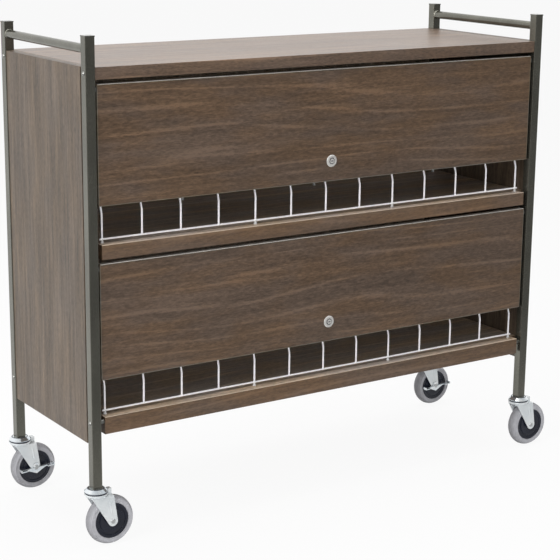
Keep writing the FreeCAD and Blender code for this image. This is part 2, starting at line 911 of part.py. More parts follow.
def make_door(tier):
    """Door board with a lock hole, and a bush for the hinge pin in each end."""
    top = TIERS[tier][0] - s.door_head_gap
    bottom = top - door_height
    face = front + s.door_setback
    z = pivot_height(tier)
    corners = rectangle((inboard(-1, door_inset), inboard(1, door_inset)), (bottom, top))
    hole = (x_middle, bottom + s.lock_height, s.lock_barrel_diameter + 2 * s.bush_gap)
    body = extruded(tier + "_door", "XZ_Plane", -(face + s.door_thickness), s.door_thickness, corners,
                    [hole])
    for side in SIDES.values():
        low, high = span(side, door_inset, door_inset + s.bush_length)
        sketch = new_sketch(body, "YZ_Plane", high)
        draw_circle(sketch, pivot_y, z, s.bush_diameter + 2 * s.bush_gap)
        pocket(body, sketch, high - low)
    round_edges(body, s.edge_round, lambda edge: front_edges(edge, face))
    keep(body, tier + "_door_panel")

    bushes = []
    for side_name, side in SIDES.items():
        low, high = span(side, door_inset, door_inset + s.bush_length)
        sleeve = rod(f"{tier}_{side_name}_sleeve", "x", s.bush_diameter, (low, pivot_y, z), high - low)
        bore = rod(f"{tier}_{side_name}_bore", "x", s.pivot_pin_diameter + 2 * s.running_gap,
                   (low, pivot_y, z), high - low)
        bushes.append(cut(f"{tier}_{side_name}_bush", sleeve, bore))
    keep(group(tier + "_bushes", bushes), tier + "_door_hinges")


def make_lock(tier):
    """Cam lock: flanged body, nut, turning plug with its tail, and the cam on that tail."""
    face = front + s.door_setback
    z = TIERS[tier][0] - s.door_head_gap - door_height + s.lock_height
    plug_radius = s.lock_plug_diameter / 2
    bore = plug_radius + s.running_gap
    flange = s.lock_face_diameter / 2
    barrel = s.lock_barrel_diameter / 2
    barrel_end = s.door_thickness + s.lock_barrel_reach
    dome = s.lock_face_height
    profile = [
        (bore, -dome),
        (flange - dome, -dome),
        (flange, -s.lock_rim_height),
        (flange, 0),
        (barrel, 0),
        (barrel, barrel_end),
        (bore, barrel_end),
    ]
    body = turned(tier + "_lock", profile)
    turn(body, V(1, 0, 0), -90)
    keep(place(body, x_middle, face, z), tier + "_lock_body")

    nut_half = s.lock_nut_side
    corners = []
    for step in range(6):
        turn_angle = math.radians(60 * step)
        corners.append((x_middle + nut_half * math.cos(turn_angle), z + nut_half * math.sin(turn_angle)))
    nut_back = face + s.door_thickness + s.lock_nut_thickness
    nut = extruded(tier + "_nut", "XZ_Plane", -nut_back, s.lock_nut_thickness, corners,
                   [(x_middle, z, s.lock_barrel_diameter + 2 * s.running_gap)])
    keep(nut, tier + "_lock_nut")

    tail_start = barrel_end + s.cam_gap
    tail_end = tail_start + s.cam_thickness
    plug_profile = [(0, -dome), (plug_radius, -dome), (plug_radius, tail_start), (0, tail_start)]
    plug = turned(tier + "_plug", plug_profile)
    keyway = new_sketch(plug, "XY_Plane", s.keyway_depth - dome)
    draw_loop(keyway, rectangle((-s.keyway_length / 2, s.keyway_length / 2),
                                (-s.keyway_width / 2, s.keyway_width / 2)))
    pocket(plug, keyway, s.keyway_depth)
    tail = new_sketch(plug, "XY_Plane", tail_start)
    half = s.lock_tail_side / 2
    draw_loop(tail, rectangle((-half, half), (-half, half)))
    pad(plug, tail, s.cam_thickness)
    head = new_sketch(plug, "XY_Plane", tail_end)
    draw_circle(head, 0, 0, s.lock_head_diameter)
    pad(plug, head, s.lock_head_height)
    turn(plug, V(1, 0, 0), -90)
    keep(place(plug, x_middle, face, z), tier + "_lock_plug")

    cam_front = face + tail_start
    hole_half = half + s.running_gap
    width = s.cam_width / 2
    cam = new_body(tier + "_cam")
    sketch = new_sketch(cam, "XZ_Plane", -(cam_front + s.cam_thickness))
    outline = [
        (x_middle - width, z - width),
        (x_middle + s.cam_length - width, z - width),
        (x_middle + s.cam_length, z),
        (x_middle + s.cam_length - width, z + width),
        (x_middle - width, z + width),
    ]
    draw_loop(sketch, outline)
    draw_loop(sketch, rectangle((x_middle - hole_half, x_middle + hole_half), (z - hole_half, z + hole_half)))
    pad(cam, sketch, s.cam_thickness)
    keep(cam, tier + "_lock_cam")


# ---------------------------------------------------------------- casters
axle_z = s.wheel_diameter / 2
fork_inner = s.boss_width / 2 + s.wheel_side_gap
fork_outer = fork_inner + s.leg_thickness


def make_stem(corner):
    """Upper race with its bevelled collar, the kingpin below and the stem in the post."""
    pin = s.kingpin_diameter / 2
    head = s.kingpin_head_diameter / 2
    race = s.race_diameter / 2
    collar = race - s.race_bevel
    seat = collar - s.race_ring_width
    head_top = crown_bottom - s.kingpin_head_gap
    stem_top = post_bottom + s.stem_length
    profile = [
        (0, head_top - s.kingpin_head_height),
        (head, head_top - s.kingpin_head_height),
        (head, head_top),
        (pin, head_top),
        (pin, upper_race_bottom),
        (race - s.race_seam, upper_race_bottom),
        (race, upper_race_bottom + s.race_seam),
        (race, upper_race_bottom + s.race_lip),
        (collar, post_bottom),
        (seat, post_bottom - s.race_ring_depth),
        (seat, post_bottom),
        (pin, post_bottom),
        (pin, stem_top),
        (0, stem_top),
    ]
    x, y = corner_axis(corner)
    keep(place(turned(corner + "_stem", profile), x, y), corner + "_caster_stem")


def make_fork(corner):
    """Swivelling fork: lower race, crown plate with a stop block, and two tapered legs."""
    bore = s.kingpin_diameter / 2 + s.running_gap
    race = s.race_diameter / 2
    profile = [
        (bore, crown_top),
        (race - s.race_lip, crown_top),
        (race, crown_top + s.race_lip),
        (race, lower_race_top - s.race_seam),
        (race - s.race_seam, lower_race_top),
        (bore, lower_race_top),
    ]
    body = turned(corner + "_fork", profile)
    crown = new_sketch(body, "XY_Plane", crown_bottom)
    draw_loop(crown, rectangle((-s.leg_back, s.leg_front), (-fork_outer, fork_outer)))
    draw_circle(crown, 0, 0, 2 * bore)
    pad(body, crown, s.crown_thickness)
    for outer_y in (fork_outer, -fork_inner):
        leg = new_sketch(body, "XZ_Plane", -outer_y)
        draw_leg(leg)
        pad(body, leg, s.leg_thickness)
    block = new_sketch(body, "XY_Plane", crown_top)
    block_back = race + s.stop_block_gap
    half = s.stop_block_width / 2
    draw_loop(block, rectangle((block_back, block_back + s.stop_block_length), (-half, half)))
    pad(body, block, s.stop_block_height)
    x, y = corner_axis(corner)
    keep(place(body, x, y), corner + "_fork")


def draw_leg(sketch):
    """Leg outline: straight flanks from the crown, tangent to a round end about the axle."""
    top = crown_bottom
    centre = V(s.caster_trail.value, axle_z.value, 0)
    radius = s.leg_end_radius
    rear_top = V(-s.leg_back.value, top.value, 0)
    front_top = V(s.leg_front.value, top.value, 0)
    rear_touch = tangent_point(rear_top, centre, radius.value, -1)
    front_touch = tangent_point(front_top, centre, radius.value, 1)
    angles = [math.atan2(p.y - centre.y, p.x - centre.x) for p in (rear_touch, front_touch)]
    sketch.addGeometry(Part.LineSegment(rear_top, rear_touch), False)
    sketch.addGeometry(Part.ArcOfCircle(Part.Circle(centre, V(0, 0, 1), radius.value), *angles), False)
    sketch.addGeometry(Part.LineSegment(front_touch, front_top), False)
    sketch.addGeometry(Part.LineSegment(front_top, rear_top), False)
    sketch.addConstraint(Sketcher.Constraint("Tangent", 0, 2, 1, 1))
    sketch.addConstraint(Sketcher.Constraint("Tangent", 1, 2, 2, 1))
    sketch.addConstraint(Sketcher.Constraint("Coincident", 2, 2, 3, 1))
    sketch.addConstraint(Sketcher.Constraint("Coincident", 3, 2, 0, 1))
    hold(sketch, 0, 1, -s.leg_back, top)
    hold(sketch, 3, 1, s.leg_front, top)
    hold(sketch, 1, 3, s.caster_trail, axle_z)
    give_radius(sketch, 1, radius)
    draw_circle(sketch, s.caster_trail, axle_z, s.axle_diameter + 2 * s.running_gap)


def tangent_point(outside, centre, radius, turn_sign):
    """Where a line from an outside point touches a circle, on the chosen flank."""
    away = outside - centre
    spread = math.acos(radius / away.Length) * -turn_sign
    angle = math.atan2(away.y, away.x) + spread
    return centre + V(math.cos(angle), math.sin(angle), 0) * radius


def make_wheel(corner):
    """Hub with a boss and a ring groove in each face, and the crowned tyre round it."""
    bore = s.axle_diameter / 2 + s.running_gap
    boss = s.hub_boss_diameter / 2
    boss_half = s.boss_width / 2
    face = s.hub_face_width / 2
    groove_in = s.hub_groove_diameter / 2
    groove_out = groove_in + s.hub_groove_width
    floor = face - s.hub_groove_depth
    seat = s.hub_diameter / 2
    upper = [
        (seat, face),
        (groove_out, face),
        (groove_out, floor),
        (groove_in, floor),
        (groove_in, face),
        (boss, face),
        (boss, boss_half),
        (bore, boss_half),
    ]
    lower = [(radius, -height) for radius, height in upper[::-1]]
    x, y = corner_axis(corner)
    for name, profile in (("hub", lower + upper), ("tyre", tyre_profile(seat))):
        body = turned(f"{corner}_{name}_body", profile)
        turn(body, V(1, 0, 0), -90)
        keep(place(body, x + s.caster_trail, y, axle_z), f"{corner}_{name}")


def tyre_profile(seat):
    """Tyre section: a short sidewall each side and a round tread between them."""
    tread_edge = s.wheel_diameter / 2 - s.tread_drop
    half = s.wheel_width / 2
    crown = (half * half + s.tread_drop * s.tread_drop) / (2 * s.tread_drop)
    return [
        (seat, -s.tyre_seat_width / 2),
        (tread_edge, -half, crown),
        (tread_edge, half),
        (seat, s.tyre_seat_width / 2),
    ]


def make_axle(corner):
    """Axle bolt with a low round head in front and a nut behind."""
    braked = CORNERS[corner][1] > 0
    lever_room = s.lever_gap + s.lever_thickness + s.lever_gap if braked else Size("0", 0.0)
    shank = s.axle_diameter / 2
    head = s.axle_head_diameter / 2
    start = -(fork_outer + lever_room)
    profile = [
        (0, start - s.axle_head_height),
        (head - s.axle_head_height / 2, start - s.axle_head_height),
        (head, start),
        (shank, start),
        (shank, fork_outer),
        (head, fork_outer),
        (head, fork_outer + s.axle_nut_height),
        (0, fork_outer + s.axle_nut_height),
    ]
    body = turned(corner + "_axle_body", profile)
    turn(body, V(1, 0, 0), -90)
    x, y = corner_axis(corner)
    keep(place(body, x + s.caster_trail, y, axle_z), corner + "_axle")


def make_brake(corner):
    """Rocker lever on the axle: web with a V dip and an ear, edge flange and two foot pads."""
    half = s.lever_length / 2
    edge = s.lever_thickness / 2
    ear = s.lever_ear_half
    body = new_body(corner + "_lever")
    outline = [
        (-half, -edge),
        (-s.lever_web_half, -edge),
        (0, -s.lever_dip),
        (s.lever_web_half, -edge),
        (half, -edge),
        (half, edge),
        (ear, edge),
        (ear / 2, s.lever_ear_height),
        (-ear / 2, s.lever_ear_height),
        (-ear, edge),
        (-half, edge),
    ]
    web = new_sketch(body, "XZ_Plane", 0)
    draw_loop(web, outline)
    draw_circle(web, 0, 0, s.axle_diameter + 2 * s.running_gap)
    pad(body, web, s.lever_thickness)
    flange_start = s.axle_head_diameter / 2 + s.lever_gap
    pad_start = half - s.lever_pad_length
    for sign in (-1, 1):
        flange_xs = sorted((sign * flange_start, sign * half), key=lambda size: size.value)
        flange = new_sketch(body, "XZ_Plane", 0)
        draw_loop(flange, rectangle(flange_xs, (-edge, edge)))
        pad(body, flange, s.lever_thickness + s.lever_flange)
        pad_xs = sorted((sign * pad_start, sign * half), key=lambda size: size.value)
        foot = new_sketch(body, "XZ_Plane", 0)
        draw_loop(foot, rectangle(pad_xs, (-edge, edge)))
        pad(body, foot, s.lever_pad_width)
        lip_xs = sorted((sign * (half - s.lever_thickness), sign * half), key=lambda size: size.value)
        lip = new_sketch(body, "XZ_Plane", 0)
        draw_loop(lip, rectangle(lip_xs, (edge, s.lever_pad_lip)))
        pad(body, lip, s.lever_pad_width)
    x, y = corner_axis(corner)
    body.Placement = FreeCAD.Placement(V(0, 0, 0), FreeCAD.Rotation(V(0, -1, 0), 0))
    bind(body, "Placement.Rotation.Angle", s.lever_tilt)
    place(body, x + s.caster_trail, y - fork_outer - s.lever_gap, axle_z)
    keep(body, corner + "_brake_lever")


# ---------------------------------------------------------------- build
for corner in CORNERS:
    make_post(corner)
    make_stem(corner)
    make_fork(corner)
    make_axle(corner)
    make_wheel(corner)
    if CORNERS[corner][1] > 0:
        make_brake(corner)
make_post_caps()
make_bolts()
make_top_panel()
make_middle_shelf()
make_bottom_shelf()
make_back_panel()
for side_name in SIDES:
    make_handle(side_name)
    make_side(side_name)
for tier in TIERS:
    make_dividers(tier)
    make_runners(tier)
    make_carriage(tier)
    make_door(tier)
    make_lock(tier)
doc.recompute()

# ---------------------------------------------------------------- check and write
failed = [item.Label for item in doc.Objects if "Invalid" in item.State or "Error" in item.State]
for item in parts:
    if item.Shape.isNull() or not item.Shape.isValid():
        failed.append(item.Label)
if failed:
    raise RuntimeError("not built: " + ", ".join(failed))

os.makedirs("parts", exist_ok=True)
for item in parts:
    item.Shape.exportStep(f"parts/{item.Label}.step")
print(len(parts), "parts written")
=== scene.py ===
import math

import bmesh
import bpy
import numpy as np
from mathutils import Matrix, Vector


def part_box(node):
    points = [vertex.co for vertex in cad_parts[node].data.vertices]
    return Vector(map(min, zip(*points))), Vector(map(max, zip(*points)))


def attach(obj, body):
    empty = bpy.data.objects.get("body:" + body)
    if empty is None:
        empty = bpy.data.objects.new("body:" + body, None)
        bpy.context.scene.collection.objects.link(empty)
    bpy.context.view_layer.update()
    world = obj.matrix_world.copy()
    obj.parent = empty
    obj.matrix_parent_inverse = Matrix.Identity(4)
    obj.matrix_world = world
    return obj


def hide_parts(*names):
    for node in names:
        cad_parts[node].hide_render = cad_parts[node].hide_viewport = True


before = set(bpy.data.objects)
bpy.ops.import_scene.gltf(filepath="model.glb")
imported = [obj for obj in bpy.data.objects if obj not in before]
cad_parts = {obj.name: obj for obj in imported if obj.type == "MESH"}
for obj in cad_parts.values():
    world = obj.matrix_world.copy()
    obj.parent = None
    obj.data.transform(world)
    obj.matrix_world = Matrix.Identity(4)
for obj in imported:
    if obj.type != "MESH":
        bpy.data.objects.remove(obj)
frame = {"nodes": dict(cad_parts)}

bl_info = {
    "name": "Medical chart rack",
    "version": (1, 0, 0),
    "blender": (4, 5, 0),
    "location": "3D View > Sidebar > Chart rack",
    "description": "Gives a wheeled chart rack its laminates, coated tube, wire, locks and casters",
    "category": "Object",
}

MM = 0.001
TAU = 2 * math.pi
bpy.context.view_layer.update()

TIERS = ("upper", "lower")
CORNERS = ("front_left", "front_right", "rear_left", "rear_right")
WIRES = 13


def shown(red, green, blue):
    """Linear colour of a screen colour given from 0 to 255."""
    seen = np.array([red, green, blue]) / 255
    linear = np.where(seen <= 0.04045, seen / 12.92, ((seen + 0.055) / 1.055) ** 2.4)
    return tuple(float(part) for part in linear)


# ------ settings
def colour_setting(label, note, red, green, blue):
    """A colour; its default is a screen colour from 0 to 255."""
    return bpy.props.FloatVectorProperty(
        name=label, description=note, subtype="COLOR", min=0, max=1,
        default=shown(red, green, blue))


def length_setting(label, note, millimetres):
    """A length; its default is in millimetres."""
    return bpy.props.FloatProperty(
        name=label, description=note, subtype="DISTANCE", unit="LENGTH", min=0,
        default=millimetres * MM)


def number_setting(label, note, value):
    """A plain number."""
    return bpy.props.FloatProperty(name=label, description=note, default=value)


def angle_setting(label, note, degrees):
    """An angle; its default is in degrees."""
    return bpy.props.FloatProperty(
        name=label, description=note, subtype="ANGLE", unit="ROTATION",
        default=math.radians(degrees))


class ChartRackColours(bpy.types.PropertyGroup):
    """Colours of the rack's finishes."""
    door: colour_setting("Door laminate", "Walnut laminate of the doors", 92, 74, 59)
    side: colour_setting("Side laminate", "Laminate of the side walls", 98, 85, 72)
    worktop: colour_setting("Worktop laminate", "Laminate of the worktop", 98, 79, 64)
    shelf: colour_setting("Shelf laminate", "Laminate of the two shelves", 101, 81, 64)
    frame: colour_setting("Frame coat", "Metallic coat of the tubes", 112, 111, 102)
    band: colour_setting("Door band", "Edge band of the doors", 108, 101, 88)
    back: colour_setting("Back laminate", "Laminate of the back panel", 146, 132, 116)
    # painted highlight: colour of the pale strip that stands for light caught on the doors' top edges
    strip: colour_setting("Door strip", "Pale strip on the doors' top edges", 214, 210, 203)
    # painted highlight: colour of the pale line that stands for light caught on the shelves' front edges
    line: colour_setting("Edge line", "Pale line along the shelves' front edges", 196, 178, 158)
    wire: colour_setting("Divider coat", "White coat of the divider wires", 252, 250, 255)
    foot: colour_setting("Divider foot", "Foot caps of the dividers", 214, 214, 214)
    zinc: colour_setting("Caster zinc", "Plating of the forks, races, levers and axles", 238, 241, 242)
    chrome: colour_setting("Lock chrome", "Chrome of the locks", 236, 234, 230)
    steel: colour_setting("Slide steel", "Plated steel of the door slides", 150, 152, 152)
    bolt: colour_setting("Bolt zinc", "Plating of the frame bolts", 150, 150, 146)
    tyre: colour_setting("Tyre rubber", "Grey rubber of the tyres", 182, 182, 187)
    hub: colour_setting("Hub plastic", "Dark plastic of the hubs", 19, 23, 38)
    # painted shade: the dark colour of the rings and bar that stand for the shade in the locks' and races'
    # gaps
    seal: colour_setting("Seals", "Dark rings of the locks and the casters' races", 34, 38, 52)
    nylon: colour_setting("Glide nylon", "Glides of the door slides", 205, 204, 196)
    bush: colour_setting("Hinge bush", "Bushes in the door ends", 60, 60, 60)
    floor: colour_setting("Floor", "Floor under the rack", 218, 218, 218)


class ChartRackSizes(bpy.types.PropertyGroup):
    """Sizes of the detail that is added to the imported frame."""
    band_thickness: length_setting("Band thickness", "Edge band on the boards", 2.2)
    band_proud: length_setting("Band proud", "How far the edge band stands out", 0.3)
    band_round: length_setting("Band round", "Rounding of the edge band", 0.8)
    top_gap: length_setting("Worktop gap", "Gap from the worktop's band to a post", 0.5)
    shelf_gap: length_setting("Shelf gap", "Gap from a shelf's band to a post", 12.5)
    band_face: length_setting("Band face", "How far the door's band stands before its faces", 0.15)
    # sizes of the dark ring of painted shade round a race's collar
    collar_radius: length_setting("Collar seal", "Radius of the dark ring round a race's collar", 20.3)
    collar_seal: length_setting("Collar seal thickness", "Half thickness of the collar's ring", 1.1)
    # size of the pale line of painted highlight on a shelf's front edge
    line_side: length_setting("Edge line", "Side of the pale line along a shelf's front edge", 1.5)
    # size of the pale strip of painted highlight on a door's top edge
    strip_height: length_setting("Strip height", "Height of the strip on a door's top edge", 2.2)
    strip_proud: length_setting("Strip proud", "How far the strip stands above the door", 0.5)
    # sizes of the dark ring of painted shade in the gap between two races
    seal_depth: length_setting("Race seal depth", "Half depth of the seal between two races", 0.9)
    seal_height: length_setting("Race seal height", "Half height of the seal between two races", 1.6)
    seal_drop: length_setting("Race seal drop", "From a post's foot to the gap between its races", 11.0)
    bead: length_setting("Weld bead", "Half width of the weld at a handle's end", 1.9)
    weld: length_setting("Wire weld", "Radius of the weld at a wire's foot", 3.4)
    # width of the dark ring of painted shade round a lock's plug
    gasket_width: length_setting("Lock gasket", "Width of the dark ring round a lock's plug", 2.0)
    # sizes of the dark bar of painted shade in a lock's keyway
    keyway_length: length_setting("Keyway length", "Length of the shutter in a lock's keyway", 6.7)
    keyway_width: length_setting("Keyway width", "Width of the shutter in a lock's keyway", 2.3)
    keyway_set: length_setting("Keyway set", "How far the shutter lies behind the plug's face", 0.3)
    thread_pitch: length_setting("Thread pitch", "Pitch of the lock's thread", 1.5)
    thread_depth: length_setting("Thread depth", "Depth of the lock's thread", 0.6)
    mould_line: length_setting("Mould line", "Height of the ridge round the tread", 0.3)
    rib_height: length_setting("Fork rib height", "How far the fork's rib stands out", 0.9)
    rib_width: length_setting("Fork rib width", "Half width of the fork's rib", 2.4)


class ChartRackStage(bpy.types.PropertyGroup):
    """Camera and lamps."""
    camera_place: bpy.props.FloatVectorProperty(
        name="Camera place", description="Where the camera stands", subtype="XYZ", unit="LENGTH",
        default=(-2.410, -3.565, 1.607))
    heading: angle_setting("Heading", "Turn of the camera from the depth axis", 33.63)
    tilt: angle_setting("Tilt", "Tilt of the camera below the horizon", 13.91)
    roll: angle_setting("Roll", "Roll of the camera", 0.59)
    lens: number_setting("Lens", "Focal length in millimetres", 102.6)
    key_power: number_setting("Key lamp", "Power of the soft lamp on the left in watts", 155)
    fill_power: number_setting("Front lamp", "Power of the soft lamp in front in watts", 73)
    top_power: number_setting("Top lamp", "Power of the soft lamp above in watts", 150)
    sky: number_setting("Surround", "Strength of the even light all round", 0.24)


# ------ surfaces
def grid_shell(points, close_rows=False, close_columns=False):
    """Quads over a grid of points; a closed way joins its last line to its first."""
    rows, columns = points.shape[:2]
    index = np.arange(rows * columns).reshape(rows, columns)
    if close_rows:
        index = np.vstack([index, index[:1]])
    if close_columns:
        index = np.hstack([index, index[:, :1]])
    around = (index[:-1, :-1], index[:-1, 1:], index[1:, 1:], index[1:, :-1])
    return points.reshape(-1, 3), np.stack(around, axis=-1).reshape(-1, 4)


def joined(shells):
    """Several shells as one set of points and quads."""
    starts = np.cumsum([0] + [len(points) for points, _ in shells[:-1]])
    points = np.concatenate([shell[0] for shell in shells])
    quads = np.concatenate([shell[1] + start for shell, start in zip(shells, starts)])
    return points, quads


def full_turn(steps):
    """Angles at even steps round a circle."""
    return np.linspace(0, TAU, steps, endpoint=False)


def rounded_loop(width, height, radius, steps=5):
    """Rounded rectangle: four corner centres, each plus radius times (cos a, sin a) over a quarter.

    Gives the points and their outward normals, both arrays of 4 x steps rows.
    """
    angle = np.concatenate([np.linspace(start, start + TAU / 4, steps) for start in np.arange(4) * TAU / 4])
    normal = np.stack([np.cos(angle), np.sin(angle)], axis=1)
    signs = np.repeat(np.array([[1, 1], [-1, 1], [-1, -1], [1, -1]]), steps, axis=0)
    centre = signs * np.array([width / 2 - radius, height / 2 - radius])
    return centre + radius * normal, normal


LONGEST_REACH = 0.45


def filleted(corners, radius, steps=5):
    """Closed section in a plane whose corners are arcs tangent to both sides.

    Each arc starts radius / tan(half the corner's angle) before its corner, less on a short side.
    It is ((1 - s)^2 start + 2 s (1 - s) w corner + s^2 end) / ((1 - s)^2 + 2 s (1 - s) w + s^2),
    with w the cosine of half its turn.
    """
    corners = np.array(corners, float)
    before = np.roll(corners, 1, axis=0) - corners
    after = np.roll(corners, -1, axis=0) - corners
    before_length = np.linalg.norm(before, axis=1, keepdims=True)
    after_length = np.linalg.norm(after, axis=1, keepdims=True)
    before = before / before_length
    after = after / after_length
    half = np.arccos(np.clip((before * after).sum(1, keepdims=True), -1, 1)) / 2
    reach = np.minimum(radius / np.tan(half), LONGEST_REACH * np.minimum(before_length, after_length))
    share = np.linspace(0, 1, steps)[None, :, None]
    start = (corners + before * reach)[:, None]
    end = (corners + after * reach)[:, None]
    middle = corners[:, None]
    weight = np.cos(TAU / 4 - half)[:, None]
    first = (1 - share) ** 2
    pull = 2 * share * (1 - share) * weight
    last = share ** 2
    return ((first * start + pull * middle + last * end) / (first + pull + last)).reshape(-1, 2)


def turned_shell(section, turns=96):
    """Closed section of (radius, height) turned about Z: (r cos t, r sin t, h)."""
    angle = full_turn(turns)
    radius, height = section.T
    points = np.stack([
        np.outer(np.cos(angle), radius),
        np.outer(np.sin(angle), radius),
        np.tile(height, (turns, 1)),
    ], axis=-1)
    return grid_shell(points, close_rows=True, close_columns=True)


def bar_shell(start, end, centre, depth, height, radius, steps=5):
    """Rounded rectangle in Y and Z carried along X from start to end.

    Point = (x, middle + k (section - middle)), where k falls to 0 and so closes both ends.
    """
    section = rounded_loop(depth, height, radius, steps)[0] + centre
    middle = section.mean(axis=0)
    stations = np.array([start, start, end, end])
    share = np.array([0.0, 1.0, 1.0, 0.0])[:, None, None]
    outline = middle + share * (section - middle)[None]
    points = np.dstack([np.repeat(stations[:, None], len(section), axis=1), outline])
    return grid_shell(points, close_columns=True)


def blob_shells(centres, radii, rings=8, turns=14):
    """Ellipsoids at several centres: centre + (a cos v cos u, b cos v sin u, c sin v)."""
    u = full_turn(turns)
    v = np.linspace(-TAU / 4, TAU / 4, rings)
    ball = np.stack([
        np.outer(np.cos(v), np.cos(u)),
        np.outer(np.cos(v), np.sin(u)),
        np.outer(np.sin(v), np.ones_like(u)),
    ], axis=-1) * np.array(radii)
    return [grid_shell(ball + np.array(centre), close_columns=True) for centre in centres]


def ripple_ring(radius, thick, ripples, swing=0.2, turns=120, sides=10):
    """Weld ring about Z: a torus whose section swells by swing times cos(n t) round the ring."""
    around = full_turn(turns)[:, None]
    section = full_turn(sides)[None]
    swell = thick * (1 + swing * np.cos(ripples * around))
    ring = radius + swell * np.cos(section)
    points = np.stack([ring * np.cos(around), ring * np.sin(around), swell * np.sin(section)], axis=-1)
    return grid_shell(points, close_rows=True, close_columns=True)


def thread_shell(radius, bore, start, end, pitch, depth, turns=48, steps=6):
    """Threaded sleeve about Z: outer radius less depth times a triangle wave of z / pitch - t.

    A ring of points at the bore closes each end.
    """
    lines = int(round((end - start) / pitch)) * steps + 1
    z = np.linspace(start, end, lines)[:, None]
    angle = full_turn(turns)[None]
    wave = np.abs(2 * ((z / pitch - angle / TAU) % 1) - 1)
    ends = ((1, 1), (0, 0))
    outer = np.pad(radius - depth * wave, ends, constant_values=bore)
    z = np.pad(z, ends, mode="edge")
    points = np.stack([outer * np.cos(angle), outer * np.sin(angle), z + 0 * angle], axis=-1)
    return grid_shell(points, close_rows=True, close_columns=True)


def rib_shell(start, end, across, out, width, height, steps=24, sides=16):
    """Pressed rib: along a line its section is an ellipse, its size sqrt(sin(pi s)) of the full one."""
    share = np.linspace(0, 1, steps)
    swell = np.sqrt(np.clip(np.sin(np.pi * share), 0, 1))[:, None, None]
    angle = full_turn(sides)
    line = start + share[:, None] * (end - start)
    section = width * np.cos(angle)[:, None] * across + height * np.sin(angle)[:, None] * out
    return grid_shell(line[:, None] + swell * section[None], close_columns=True)


FORWARD = (0, -1, 0)


def laid(shell, centre, facing):
    """A shell turned so its Z looks along facing, then moved to centre."""
    points, quads = shell
    turn = np.array(Vector((0, 0, 1)).rotation_difference(Vector(facing)).to_matrix())
    return points @ turn.T + np.array(centre), quads


def new_object(name, shell, finish):
    """Makes an object of a shell's points and quads, with its finish."""
    points, quads = shell
    mesh = bpy.data.meshes.new(name)
    mesh.from_pydata(points.tolist(), [], quads.tolist())
    mesh.materials.append(finish)
    item = bpy.data.objects.new(name, mesh)
    bpy.context.scene.collection.objects.link(item)
    return item


SAME_PLACE = 1e-6
SHARP_ANGLE = math.radians(40)


def add_piece(name, shells, finish, body, replaces=()):
    """Makes one piece of the shells, closed and facing outwards, and ties it to its body."""
    piece = new_object(name, joined(shells), bpy.data.materials[finish])
    mesh = piece.data
    work = bmesh.new()
    work.from_mesh(mesh)
    bmesh.ops.remove_doubles(work, verts=work.verts, dist=SAME_PLACE)
    bmesh.ops.recalc_face_normals(work, faces=work.faces)
    work.to_mesh(mesh)
    work.free()
    mesh.shade_smooth()
    mesh.set_sharp_from_angle(angle=SHARP_ANGLE)
    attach(piece, body)
    if replaces:
        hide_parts(*replaces)


class Box:
    """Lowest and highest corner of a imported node, its centre and half its size."""

    def __init__(self, node):
        low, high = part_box(node)
        self.low = np.array(low)
        self.high = np.array(high)
        self.centre = (self.low + self.high) / 2
        self.half = (self.high - self.low) / 2


# ------ finishes
USUAL = (0.3, 0.7)  # most of a noise lies in this range


